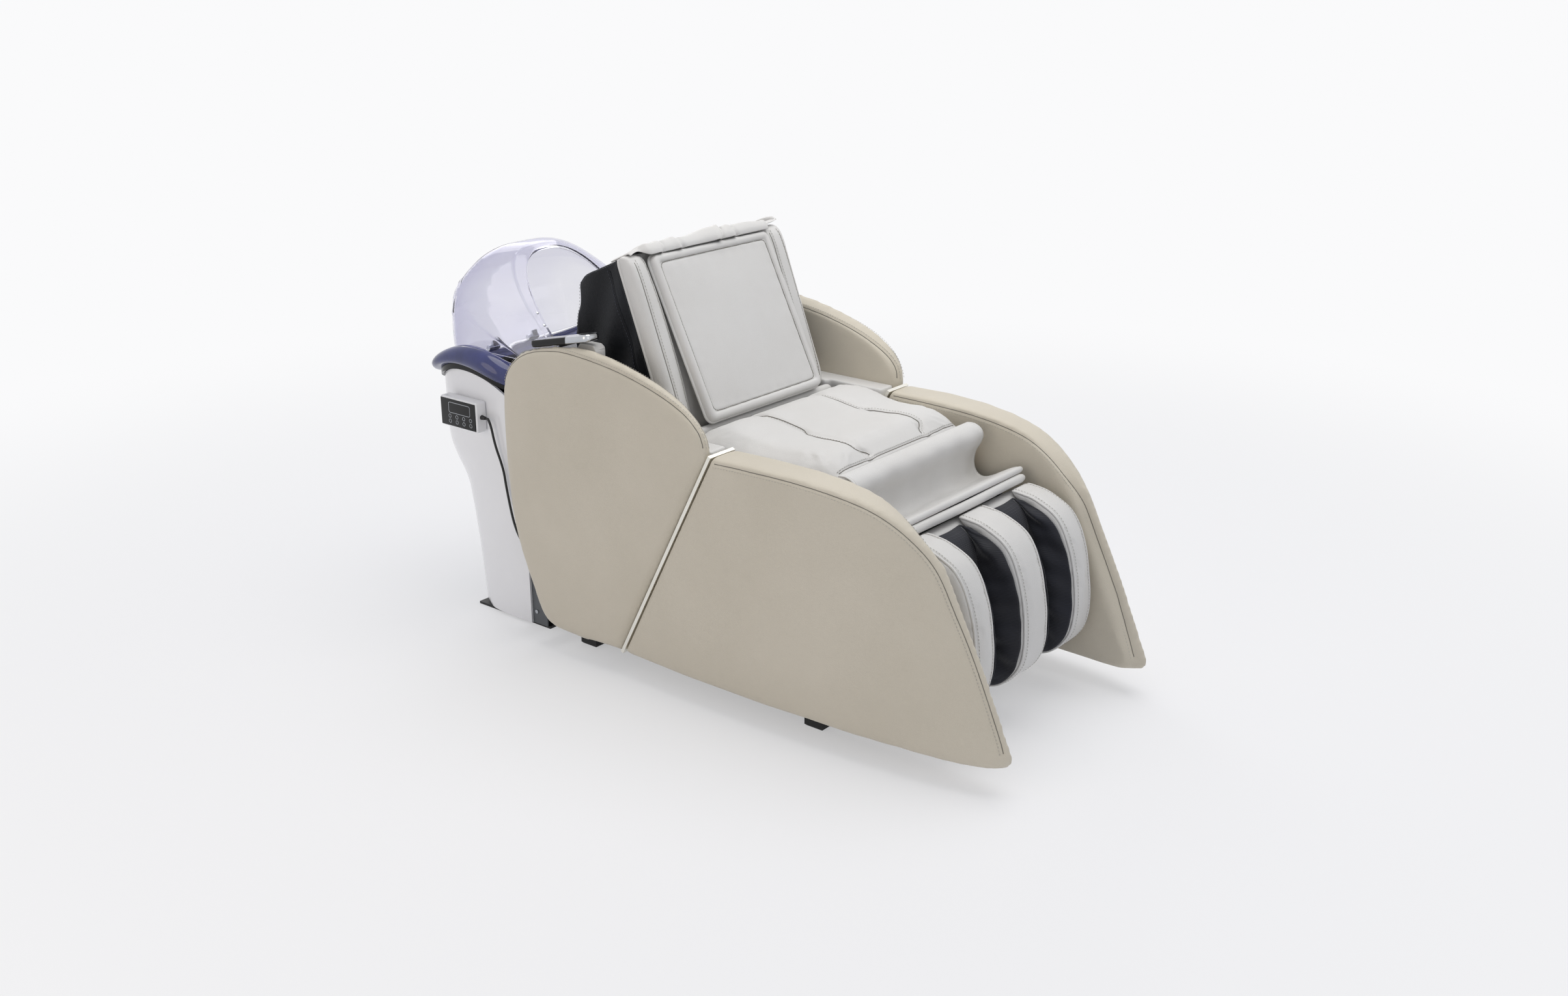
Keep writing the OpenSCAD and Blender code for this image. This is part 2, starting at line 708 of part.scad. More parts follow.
function back_section(s) =
    let (r = height_at(back_round_shares, s), z = back_bottom + s * (back_top - back_bottom),
        w = back_half - back_draw * (1 - r), t = wing_t * r, c = (wing_t - recess_d) * r,
        b = -back_front + wing_t, e = wing_edge_share * back_half,
        half = [[recess_half * 0.6, b - c, z], [recess_half - recess_soft, b - 0.8 * c, z],
            [recess_half + recess_soft, b - 0.75 * t, z], [recess_half + recess_edge, b - 0.96 * t, z],
            [(w + recess_half) / 2, b - t, z], [w - e, b - t, z], [w - 0.35 * e, b - 0.94 * t, z],
            [w, b - 0.72 * t, z], [w, b, z]])
    concat([for (i = [len(half) - 1 : -1 : 0]) [-half[i][0], half[i][1], half[i][2]]], half);

module backrest_cushion() {
    b = -back_front + wing_t - recess_soft;
    color("#DAD8D3") on_backrest()
        skin([0, b, back_bottom], [for (s = back_stations) back_section(s)], [0, b, back_top]);
}

// Loose back pad: a crowned square with a welt round its edge, hung from its top and standing off below
pad_top = 492;
pad_front = 74.7;
pad_turn = 5.6;
pad_corner = 0.12;
pad_welt = 5;

function unit_square(n, k) = [for (i = [0 : k - 1]) let (a = 360 * i / k, c = cos(a), s = sin(a))
    [sign(c) * abs(c) ^ (2 / n), sign(s) * abs(s) ^ (2 / n)]];

function pad_loop(s, d) = [for (p = unit_square(9, 40)) [p[0] * pad_half * s, d, (p[1] * s - 1) * pad_l / 2]];

module back_pad() {
    t = pad_t / 2;
    color("#DDDCD8") on_backrest() translate([0, -pad_front + t, pad_top]) rotate([-pad_turn, 0, 0])
        skin([0, t, -pad_l / 2],
            [pad_loop(0.9, t), pad_loop(0.965, 0.6 * t), pad_loop(0.98, 0.35 * t), pad_loop(1, 0.3 * t),
                pad_loop(1, -0.3 * t), pad_loop(0.98, -0.35 * t), pad_loop(0.965, -0.6 * t),
                pad_loop(0.9, -0.9 * t), pad_loop(0.6, -t)],
            [0, -t, -pad_l / 2]);
}

// Leather flap over the top of the backrest, gathered into soft waves
top_flap_l = 62;
top_flap_t = 5;
top_flap_in = 12;
gather_h = 9;
gather_n = 8.5;

function top_wave(x, s) = gather_h * (1 + sin(180 * gather_n * abs(x) / back_half + 90 * s))
    * sin(180 * max(0, (s - 0.28) / 0.72));

module top_flap() {
    xs = [for (i = [0 : 44]) -back_half + 2 * back_half * i / 44];
    lift = top_flap_t + seat_gap;
    color("#D6D4CF") on_backrest() translate([0, -back_front + top_flap_in, back_top])
        wall_skin([for (k = [0 : 8]) let (s = k / 8)
            concat([for (x = xs) [x, s * top_flap_l, lift + top_wave(x, s)]],
                [for (i = [len(xs) - 1 : -1 : 0])
                    [xs[i], s * top_flap_l, seat_gap + top_wave(xs[i], s)]])]);
}

// Dark leather gusset behind the backrest: two sides, a back and a sloping top, open in front.
// Corners as shares of the gusset's reach behind the pivot and of the backrest's length.
gusset_shares = [[-0.02, 0.08], [0.522, 0.9522], [0.897, 0.848], [0.945, 0.806], [0.955, 0.71],
    [0.985, 0.6], [1, 0.27], [1, 0.07]];
gusset_depth = gusset_y - pivot_y;

function gusset_line(t) = [for (s = gusset_shares)
    [pivot_y + s[0] * (gusset_depth - t), pivot_z + s[1] * (back_top - t)]];

module back_gusset() {
    w = back_half - 4;
    color("#22252C") in_bed() difference() {
        across(-w, w) polygon(gusset_line(0));
        across(-w + gusset_t, w - gusset_t)
            polygon(concat([[pivot_y - 4 * ear_r, pivot_z - eps], [pivot_y - 4 * ear_r, pivot_z + back_top]],
                [for (i = [1 : len(gusset_shares) - 1]) gusset_line(gusset_t)[i]
                    - [0, i < 3 ? gusset_t : 0]],
                [[pivot_y + gusset_depth - gusset_t, pivot_z - eps]]));
    }
}

// Drives: a spindle motor with a sliding rod, whose slotted end pushes the fork's pin

drive_tube_r = 17;
drive_rod_r = 9;
slot_t = 10;
slot_gap = 1.2;
slot_r = drive_pin_r + slot_gap;
slot_rise = 16;
slot_wall = 9;
gear_l = 60;
motor_r = 26;
motor_l = 90;
stand_l = 32;

recline_drive_z = pivot_z - recline_lever * (1 + cos(recline_mid)) / 2;
recline_pin_y = pivot_y + recline_lever * sin(recline_mid);
lift_lever = 60;
lift_mid = 32.5;
lift_drive_z = lift_z - lift_lever * (1 + cos(lift_mid)) / 2;
lift_pin_y = -lift_y + lift_lever * sin(lift_mid);

module slotted_end() {
    across(-slot_t / 2, slot_t / 2) difference() {
        translate([-slot_r - slot_wall, -slot_rise - slot_wall])
            square([2 * (slot_r + slot_wall), 2 * (slot_rise + slot_wall)]);
        translate([-slot_r, -slot_rise]) square([2 * slot_r, 2 * slot_rise]);
    }
}

// Rod along Y: dir is 1 where the rod runs to +Y of its motor, or -1 to its -Y
module drive_rod(l, dir) {
    slotted_end();
    translate([0, -dir * (slot_r + slot_wall), 0]) rotate([90 * dir, 0, 0]) cylinder(r = drive_rod_r, h = l);
}

module drive_body(l, dir, z) {
    low = -motor_r - motor_l;
    rotate([dir * 90, 0, 0]) {
        difference() {
            cylinder(r = drive_tube_r, h = l);
            translate([0, 0, -eps]) cylinder(r = drive_rod_r + run_gap, h = l - gear_l / 2);
        }
        translate([-motor_r, -motor_r, l]) cube([2 * motor_r, 2 * motor_r, gear_l]);
    }
    translate([0, -dir * (l + gear_l / 2), low]) cylinder(r = motor_r, h = motor_l);
    translate([-motor_r, -dir * (l + gear_l / 2) - stand_l / 2, rail_z + tube - z])
        cube([2 * motor_r, stand_l, z - rail_z - tube + low]);
}

recline_reach = 100;
recline_in = 14;
recline_tube_l = 150;
lift_reach = 85;
lift_in = 74;
lift_tube_l = 130;

module recline_actuator() {
    color("#3A3C40") in_bed() translate([lever_x, recline_pin_y - recline_reach, recline_drive_z])
        drive_body(recline_tube_l, 1, recline_drive_z);
}

module recline_rod() {
    color("#C7CBD0") in_bed() translate([lever_x, recline_pin_y, recline_drive_z])
        drive_rod(recline_reach + recline_in, 1);
}

module lift_actuator() {
    color("#3A3C40") in_bed() translate([-lever_x, lift_pin_y + lift_reach, lift_drive_z])
        drive_body(lift_tube_l, -1, lift_drive_z);
}

module lift_rod() {
    color("#C7CBD0") in_bed() translate([-lever_x, lift_pin_y, lift_drive_z])
        drive_rod(lift_reach + lift_in, -1);
}

// Case with the power supply and the air pump, on the rear crossbars
power_w = 240;
power_l = 150;
power_h = 110;
power_lap = 20;

module power_box() {
    color("#2B2D30") in_bed()
        translate([-power_w / 2, power_bar - power_lap, rail_z + tube]) cube([power_w, power_l, power_h]);
}

// Leg rest

// Outline of a rib as shares of the leg rest's depth and height, anticlockwise as seen from +X
rib_front_shares = [[0.1, 1], [0.35, 0.99], [0.555, 0.95], [0.715, 0.895], [0.845, 0.79], [0.94, 0.64],
    [0.99, 0.47], [1, 0.325], [0.955, 0.195], [0.87, 0.115], [0.75, 0.05], [0.62, 0.012], [0.45, 0]];
floor_shares = [[0.4, 0.06], [0.44, 0.25], [0.44, 0.5], [0.42, 0.75], [0.32, 0.9], [0.16, 0.965]];
calf_depth = calf_front - calf_back;

function calf_points(shares) = [for (s = shares) [-calf_back - s[0] * calf_depth, calf_z + s[1] * calf_h]];

rib_outline = concat(curve(calf_points(rib_front_shares), facet_steps), calf_points(floor_shares));

// Rib between two places on X, with rounded edges
rib_round = 12;
rib_edge = 6;

// Closed anticlockwise outline p, each point moved inwards by d
function drawn_in(p, d) = let (n = len(p))
    [for (i = [0 : n - 1]) let (v = p[(i + 1) % n] - p[(i + n - 1) % n]) p[i] + d * [-v[1], v[0]] / norm(v)];

function rib_ring(x, d) = [for (p = drawn_in(rib_outline, d)) [x, p[0], p[1]]];

module calf_rib(x0, x1) {
    c = middle(rib_outline);
    color("#D8D5CF") in_bed()
        skin([x0, c[0], c[1]],
            [rib_ring(x0, rib_edge), rib_ring(x0 + 0.3 * rib_round, 0.3 * rib_edge),
                rib_ring(x0 + rib_round, 0), rib_ring(x1 - rib_round, 0),
                rib_ring(x1 - 0.3 * rib_round, 0.3 * rib_edge), rib_ring(x1, rib_edge)],
            [x1, c[0], c[1]]);
}

module calf_rib_left() {
    calf_rib(rib_half + well_w, calf_half);
}

module calf_rib_middle() {
    calf_rib(-rib_half, rib_half);
}

module calf_rib_right() {
    calf_rib(-calf_half, -rib_half - well_w);
}

// Shell behind the wells, which carries the ribs
function calf_body_points() = concat(
    [for (p = calf_points(floor_shares)) p + [seat_gap + lining_t, 0]],
    calf_points([[0, 0.965], [0, 0.1], [0.1, 0.03], [0.38, 0.03]]));

module calf_body() {
    color("#CFCBC3") in_bed() across(-calf_half, calf_half) polygon(calf_body_points());
}

// Fabric lining of a well: a floor and two side walls
lining_shares = [[0.3, 0.955], [0.54, 0.915], [0.7, 0.86], [0.82, 0.76], [0.91, 0.62], [0.955, 0.46],
    [0.965, 0.33], [0.92, 0.205], [0.84, 0.13], [0.73, 0.07], [0.6, 0.04], [0.45, 0.035]];

module calf_lining() {
    x0 = rib_half + seat_gap;
    x1 = rib_half + well_w - seat_gap;
    color("#171B28") in_bed() {
        floor = [for (p = calf_points(floor_shares)) p + [seat_gap, 0]];
        across(x0, x1) polygon(concat([for (p = floor) p + [-seat_gap - lining_t, 0]],
            [for (i = [len(floor) - 1 : -1 : 0]) floor[i] + [lining_t - seat_gap - seat_gap, 0]]));
        for (x = [x0, x1 - lining_t])
            across(x, x + lining_t) polygon(concat(calf_points(lining_shares), calf_points(floor_shares)));
    }
}

module calf_lining_left() {
    calf_lining();
}

module calf_lining_right() {
    mirror([1, 0, 0]) calf_lining();
}

leg_torque_r = 14;
leg_arm_share = 0.5;
leg_arm_x = leg_arm_share * half_w;
leg_arm_t = 8;
leg_arm_h = 40;
leg_plate_t = 6;

module leg_frame() {
    color("#6F7276") in_bed() {
        translate([0, -lift_y, lift_z]) rotate([0, 90, 0]) {
            cylinder(r = leg_torque_r, h = 2 * (ear_x - 2 * pin_rest), center = true);
            cylinder(r = pin_r, h = 2 * (ear_x + ear_t + pin_rest), center = true);
        }
        on_both_sides() translate([leg_arm_x, -calf_back + leg_plate_t, lift_z - leg_arm_h / 2])
            cube([leg_arm_t, calf_back - lift_y - leg_plate_t, leg_arm_h]);
        translate([-leg_arm_x - leg_arm_t, -calf_back + seat_gap, calf_z + 0.2 * calf_h])
            cube([2 * (leg_arm_x + leg_arm_t), leg_plate_t, 0.72 * calf_h]);
        translate([-lever_x, -lift_y, lift_z]) lever_fork(lift_lever, lift_mid);
    }
}

// Pedestal and basin

base_t = 6;
base_inset = 10;
base_front = 55;
base_rear = 915;

module pedestal_base() {
    color("#1B1B1D") in_bed() translate([-pedestal_half + base_inset, pedestal_y - base_front, 0])
        cube([2 * (pedestal_half - base_inset), base_rear - pedestal_y, base_t]);
}

plate_t = 3;
plate_l = 110;
plate_front = 50;
plate_low = 140;
tie_h = 40;
tie_rise = 150;
plate_x = pedestal_half - housing_wall - seat_gap - plate_t;
screw_r = 5;
screw_y = pedestal_y - rail_gap;
screw_places = [38, 230, 440];

module pedestal_frame() {
    color("#9A9DA0") in_bed() {
        on_both_sides() translate([plate_x, pedestal_y - plate_front, base_t]) difference() {
            cube([plate_t, plate_l, housing_z - plate_low]);
            for (z = screw_places) translate([-eps, screw_y - pedestal_y + plate_front, z - base_t])
                rotate([0, 90, 0]) cylinder(r = screw_r / 2 + run_gap, h = plate_t + 2 * eps);
        }
        for (z = [base_t + tie_rise, housing_z - plate_low - tie_h])
            translate([-plate_x, pedestal_y + plate_l - plate_front - plate_t, z])
                cube([2 * plate_x, plate_t, tie_h]);
        translate([-plate_x, rail_rear, rail_z]) cube([2 * plate_x, plate_t, tube]);
    }
}

screw_head = 2.5;
screw_l = 12;

module frame_screws() {
    color("#B8BBBE") in_bed() on_both_sides() for (z = screw_places)
        translate([plate_x + plate_t + seat_gap / 2, screw_y, z]) rotate([0, 90, 0]) {
            cylinder(r = screw_r, h = screw_head);
            translate([0, 0, -screw_l]) cylinder(r = screw_r / 2, h = screw_l);
        }
}

// Rear outline of the housing: [share of the height, share of the depth]
rear_shares = [[0, 0.6], [0.02, 0.64], [0.09, 0.655], [0.26, 0.69], [0.42, 0.735], [0.53, 0.775],
    [0.58, 0.82], [0.63, 0.89], [0.7, 0.965], [0.78, 0.995], [0.9, 1], [1, 1]];
level_shares = [0, 0.02, 0.09, 0.26, 0.42, 0.53, 0.58, 0.63, 0.7, 0.78, 0.9, 1];
pedestal_d = pedestal_rear - pedestal_y;
crest_y = 855;
crest_front = 0.0018;
crest_rear = 0.003;
scale_unit = bed_w / 760;

// Height of the housing's upper edge at place y: a crest that falls to the front and the rear
function housing_top(y) = let (d = y - crest_y)
    housing_z - (d < 0 ? crest_front : crest_rear) * d ^ 2 / scale_unit;

// Plan of the housing: a square U with round rear corners
plan_power = 5.5;
plan_n = 26;

function plan_point(a, inset, depth) =
    let (c = cos(a), q = sin(a), k = 1 / (abs(c) ^ plan_power + abs(q) ^ plan_power) ^ (1 / plan_power))
    [-c * k * (pedestal_half - inset), pedestal_y + q * k * (depth - inset)];

function housing_point(a, share, inset) =
    let (top = housing_top(plan_point(a, inset, pedestal_d)[1]),
        p = plan_point(a, inset, height_at(rear_shares, share) * pedestal_d))
    [p[0], p[1], base_t + share * (top - base_t)];

module pedestal_housing() {
    color("#F4F4F6") in_bed()
        wall_skin([for (i = [0 : plan_n]) let (a = 180 * i / plan_n) concat(
            [for (s = level_shares) housing_point(a, s, 0)],
            [for (k = [len(level_shares) - 1 : -1 : 0])
                housing_point(a, level_shares[k], housing_wall)])]);
}

// Loop of the basin's plan: a square with round corners, drawn in to a share of its size
rim_lap = 5;
rim_front = pedestal_y - rim_lap;
rim_d = (rim_rear - rim_front) / 2;
rim_mid = (rim_rear + rim_front) / 2;
ridge_y = 815;
ridge_front = 0.003;
ridge_rear = 0.0024;
loop_n = 40;

function loop_point(a, s) = let (c = cos(a), q = sin(a), k = s / (c ^ 4 + q ^ 4) ^ 0.25)
    [k * rim_half * c, rim_mid + k * rim_d * q];

function low_z(y) = housing_top(y) + band_h;

function ridge_z(y) = let (d = y - ridge_y)
    housing_z + band_h + rim_h - (d < 0 ? ridge_front : ridge_rear) * d ^ 2 / scale_unit;

band_gap = 0.95;

module trim_band() {
    color("#101012") in_bed()
        wall_skin([for (i = [0 : loop_n - 1]) let (a = -360 * i / loop_n,
            p = loop_point(a, 0.93), q = loop_point(a, 0.89))
            [for (k = [[p, band_gap - band_h], [p, -seat_gap], [q, -seat_gap], [q, band_gap - band_h]])
                [k[0][0], k[0][1], low_z(k[0][1]) + k[1]]]], true);
}

// Section of the basin: out under the rim, over its ridge, down into the bowl and back below.
// Each entry: [share of the plan, share between the rim's lower edge and its ridge, share of the depth]
bowl_shares = [[0.93, 0, 0], [0.98, 0.12, 0], [1, 0.42, 0], [0.985, 0.72, 0], [0.95, 0.93, 0],
    [0.905, 1, 0], [0.87, 0.9, 0], [0.845, 0.62, 0], [0.8, 0.5, 0.02], [0.765, 0.3, 0.1],
    [0.72, 0, 0.42], [0.63, 0, 0.78], [0.42, 0, 0.95]];
bowl_wall = 5;
bowl_low = housing_z + band_h + rim_h - bowl_d;

// Section of the bowl at angle a as [distance from the bowl's middle, height] pairs
function bowl_line(a) =
    let (r = norm(loop_point(a, 1) - [0, rim_mid]), z0 = low_z(loop_point(a, 0.93)[1]),
        z1 = ridge_z(loop_point(a, 0.905)[1]))
    [for (s = bowl_shares) let (z = z0 + s[1] * (z1 - z0)) [s[0] * r, z + s[2] * (bowl_low - z)]];

function bowl_point(a, q) =
    let (d = loop_point(a, 1) - [0, rim_mid], p = [0, rim_mid] + q[0] * d / norm(d)) [p[0], p[1], q[1]];

function drain_point(a, z) = [drain_r * cos(a), rim_mid + drain_r * sin(a), z];

module basin() {
    color([0.2, 0.23, 0.45]) in_bed()
        wall_skin([for (i = [0 : loop_n - 1]) let (a = -360 * i / loop_n, line = bowl_line(a))
            concat([for (q = line) bowl_point(a, q)],
                [drain_point(a, bowl_low), drain_point(a, bowl_low - bowl_wall)],
                [for (k = [len(line) - 1 : -1 : 0]) bowl_point(a, side_of(line, k, bowl_wall))])], true);
}

// Black cradle in the basin's front lip, with a round notch for the neck
cradle_share = 0.37;
cradle_half = cradle_share * half_w;
cradle_l = 40;
cradle_lap = 1;
notch_rise = 14;
cradle_h = 46;
cradle_sink = 1.6;
notch_r = 85;

module neck_cradle() {
    z = ridge_z(rim_mid - 0.88 * rim_d) - cradle_sink;
    color("#141416") in_bed() translate([-cradle_half, rim_front - cradle_lap, z]) difference() {
        cube([2 * cradle_half, cradle_l, cradle_h]);
        translate([cradle_half, -eps, notch_r + notch_rise]) rotate([-90, 0, 0])
            cylinder(r = notch_r, h = cradle_l + 2 * eps);
    }
}

strainer_t = 2;
drain_collar = 8;
drain_lift = 0.7;
drain_l = 30;
drain_wall = 5;
strainer_hole = 4;
strainer_web = 4;

module drain_fitting() {
    lift = seat_gap + drain_lift;
    color("#C7CBD0") in_bed() translate([0, rim_mid, bowl_low]) difference() {
        union() {
            translate([0, 0, lift]) cylinder(r = drain_r + drain_collar, h = strainer_t);
            translate([0, 0, -drain_l]) cylinder(r = drain_r - seat_gap, h = drain_l + lift + strainer_t);
        }
        for (a = [0 : 60 : 300]) rotate([0, 0, a]) translate([drain_r / 2, 0, -drain_l - eps])
            cylinder(r = strainer_hole, h = 2 * drain_l);
        translate([0, 0, -drain_l - eps]) cylinder(r = drain_r - drain_wall, h = drain_l + eps - strainer_web);
    }
}

tank_w = 380;
tank_l = 130;
tank_h = 210;
tank_gap = 68;
tank_y = pedestal_y + tank_gap;

module water_tank() {
    color([0.85, 0.88, 0.9]) in_bed() translate([-tank_w / 2, tank_y, base_t]) cube([tank_w, tank_l, tank_h]);
}

pipe_step = 8;
pipe_wall = 3;

module drain_pipe() {
    z = base_t + tank_h;
    r = drain_r - pipe_step;
    color("#B0B3B6") in_bed() translate([0, rim_mid, z]) difference() {
        cylinder(r = r, h = bowl_low - drain_l - z);
        translate([0, 0, -eps]) cylinder(r = r - pipe_wall, h = bowl_low);
    }
}

pump_r = 36;
pump_l = 90;

module circulation_pump() {
    color("#2F5D8A") in_bed() translate([tank_w / 4, tank_y + tank_l / 2, base_t + tank_h]) {
        cylinder(r = pump_r, h = pump_l);
        translate([0, 0, pump_l]) cylinder(r = pump_r / 3, h = pump_l / 4);
    }
}

// Hood

// Reach of the hood over its middle: [share of the opening's angle, share of the reach]
hood_angle = 47;
hood_shares = [
    [0, 0.888], [0.12, 0.918], [0.25, 0.948], [0.38, 0.982], [0.5, 1], [0.62, 0.999], [0.72, 0.996],
    [0.8, 0.974], [0.86, 0.922], [0.91, 0.878], [0.95, 0.838], [1, 0.781]];
// Half width over the angle, and the exponent of each section's rounding
hood_wide_shares = [
    [0, 1], [0.12, 1], [0.25, 1], [0.38, 1], [0.5, 1], [0.62, 0.94], [0.72, 0.847], [0.8, 0.755],
    [0.86, 0.694], [0.91, 0.644], [0.95, 0.605], [1, 0.558]];
hood_bend_shares = [[0, 0.364], [0.25, 0.4], [0.5, 0.46], [0.75, 0.56], [0.88, 0.68], [1, 0.83]];
hood_steps = [0, 0.12, 0.24, 0.36, 0.48, 0.6, 0.7, 0.78, 0.84, 0.89, 0.93, 0.94, 1];
hood_turns = 28;
hood_sink = 19;
hood_foot_z = ridge_z(ridge_y) - hood_sink;
hood_foot_r = 14;
hood_fall = 0.0018;

// Share of the front wall's direction in the wall, at angle share s and turn a of the section
function hood_front(s, a) = max(0, min(1, (s - 0.42 - 0.36 * sqrt(abs(sin(a)))) / 0.14));

// Point of the hood, set in by a distance: inwards on the dome, and backwards on its front wall
function hood_point(s, a, in) =
    let (f = hood_front(s, a), t = s * hood_angle, e = height_at(hood_bend_shares, s), c = cos(a),
        r = height_at(hood_shares, s) * hood_l - hood_foot_r - (1 - 0.5 * f) * in,
        d = hood_foot_r + r * abs(sin(a)) ^ e,
        w = hood_half * height_at(hood_wide_shares, s) - (1 - f) * in,
        y = hood_y + d * cos(t) + f * in * sin(t),
        fall = hood_fall * (1 - s) ^ 2 * max(0, y - ridge_y) ^ 2 / scale_unit)
    [-sign(c) * abs(c) ^ e * w, y, hood_foot_z + d * sin(t) - f * in * cos(t) - fall];

module hood() {
    color([0.8, 0.8, 0.95, 0.35]) in_bed()
        wall_skin([for (s = hood_steps) let (out = s > 0.935 ? -flange_t : 0)
            concat([for (i = [0 : hood_turns]) hood_point(s, 180 * i / hood_turns, out)],
                [for (i = [hood_turns : -1 : 0]) hood_point(s, 180 * i / hood_turns, hood_wall)])]);
}

// Hinges on the rim behind the hood: two knuckles and a pin each, and a leafed knuckle on the hood
hinge_x = 50;
hinge_r = 7;
knuckle_l = 9;
hinge_l = 4 * knuckle_l;
hinge_pin_r = 3;
leaf_t = 3;
hinge_y = rim_mid + 0.905 * rim_d;
hinge_z = ridge_z(hinge_y) + hinge_r + 2 * seat_gap;

module on_hinges() {
    in_bed() on_both_sides() translate([hinge_x, hinge_y, hinge_z]) children();
}

module hood_hinge() {
    color("#C7CBD0") on_hinges() rotate([0, 90, 0]) {
        cylinder(r = hinge_pin_r, h = hinge_l);
        for (z = [0, 3 * knuckle_l]) translate([0, 0, z]) cylinder(r = hinge_r, h = knuckle_l);
    }
}

// Leaf of a knuckle, along the hood's wall and back to the knuckle
function leaf_point(s, off) = let (p = hood_point(s, 88, 0)) [p[1] + seat_gap + off - hinge_y, p[2] - hinge_z];

module hood_knuckles() {
    l = 2 * knuckle_l - 2 * seat_gap;
    color("#C7CBD0") on_hinges() translate([knuckle_l + seat_gap, 0, 0]) across(0, l) difference() {
        union() {
            circle(hinge_r);
            polygon([leaf_point(0, 0), leaf_point(0, leaf_t), [0, -leaf_t / 2], [0, leaf_t],
                leaf_point(0.05, leaf_t), leaf_point(0.05, 0)]);
        }
        circle(hinge_pin_r + run_gap);
    }
}

// Controls

module control_box() {
    x = pedestal_half + seat_gap;
    color("#F4F4F6") in_bed() translate([-x - box_d, box_y - box_l / 2, box_z - box_h / 2])
        cube([box_d, box_l, box_h]);
}

glass_t = 2;
glass_edge = 4;

module control_glass() {
    x = pedestal_half + seat_gap + box_d;
    color("#08080A") in_bed()
        translate([-x - glass_t, box_y - box_l / 2 + glass_edge, box_z - box_h / 2 + glass_edge])
            cube([glass_t, box_l - 2 * glass_edge, box_h - 2 * glass_edge]);
}

gland_l = 14;
gland_r = 6;
gland_lip = 0.8;
gland_x = -(pedestal_half + seat_gap + box_d / 2);

module control_gland() {
    color("#141416") in_bed() translate([gland_x, box_y - box_l / 2, box_z]) rotate([90, 0, 0]) {
        cylinder(r1 = gland_r, r2 = cable_d / 2 + gland_lip, h = gland_l);
    }
}

// Route of the control cable beside the pedestal's wall, from the gland down and in behind the arm panel
cable_points = [[-16, 761, 520], [-16, 757, 520], [-16, 753, 519], [-15, 748, 508], [-14, 744, 492],
    [-13, 740, 470], [-12, 733, 445], [-10, 724, 418], [-8, 717, 390], [-8, 712, 360], [-9, 705, 330],
    [-11, 696, 300], [-14, 684, 270], [-17, 668, 244], [-19, 650, 226], [-18, 634, 214], [-12, 622, 206],
    [-6, 616, 201], [-1, 616, 201], [4, 616, 201]];
cable_route = [for (p = cable_points) p - [pedestal_half, 0, 0]];
cable_sides = 8;

function route_dir(p, i) = let (d = held(p, i + 1) - held(p, i - 1)) d / norm(d);

// Side vector at each ring, carried along the route without twist
function carried(p, i) = i == 0 ? let (u = cross(route_dir(p, 0), [1, 0, 0])) u / norm(u) :
    let (v = carried(p, i - 1), d = route_dir(p, i), w = v - (v * d) * d) w / norm(w);

module control_cable() {
    p = curve(cable_route, 3);
    r = cable_d / 2;
    color("#101012") in_bed()
        skin(p[0], [for (i = [0 : len(p) - 1])
            let (d = route_dir(p, i), u = carried(p, i), v = cross(d, u))
            [for (k = [0 : cable_sides - 1]) let (a = 360 * k / cable_sides)
                p[i] + r * (cos(a) * u + sin(a) * v)]], p[len(p) - 1]);
}

grommet_r = 9;

module cable_grommet() {
    grommet_at = cable_route[len(cable_route) - 1];
    l = -plate_x - plate_t - grommet_at[0];
    color("#141416") in_bed() translate(grommet_at) rotate([0, 90, 0]) cylinder(r = grommet_r, h = l);
}

// Handset on the right arm, with a small upholstered rest under its front end
handset_share = 0.9132;
handset_x = handset_share * half_w;
handset_y = 440;
handset_z = 762.6;
glass_sink = 2;
bezel = 3;
handset_tilt = -12.8;

module in_handset() {
    in_bed() translate([-handset_x, handset_y, handset_z]) rotate([handset_tilt, 0, 0]) children();
}

module handset_plan(inset) {
    r = handset_w * 0.3;
    w = handset_w / 2 - inset;
    l = handset_l / 2 - inset;
    union() {
        square([2 * w, 2 * (l - r)], center = true);
        square([2 * (w - r), 2 * l], center = true);
        for (x = [-1, 1], y = [-1, 1]) translate([x * (w - r), y * (l - r)]) circle(r);
    }
}

module handset_body() {
    color("#9FA3A8") in_handset() difference() {
        linear_extrude(handset_t) handset_plan(0);
        translate([0, 0, handset_t - glass_sink]) linear_extrude(glass_sink + eps) handset_plan(bezel);
    }
}

module handset_glass() {
    color("#08080A") in_handset() translate([0, 0, handset_t - glass_sink + seat_gap])
        linear_extrude(glass_sink - seat_gap) handset_plan(bezel + seat_gap);
}

rest_l = 60;
rest_w = 34;
rest_h = 40;
rest_in = 8;
rest_sink = 34;
rest_round = 6;

module handset_cradle() {
    color("#D6D4CF") in_bed()
        translate([-(half_w - arm_t) + seat_gap, handset_y - handset_l / 2 + rest_in, handset_z - rest_sink])
            hull() {
                translate([0, rest_round, 0])
                    cube([rest_w, rest_l - 2 * rest_round, rest_h - 1.4 * rest_round]);
                translate([0, 1.6 * rest_round, 0])
                    cube([rest_w - rest_round, rest_l - 3.2 * rest_round, rest_h]);
                cube([rest_w - rest_round, rest_l, rest_h - 2.4 * rest_round]);
            }
}

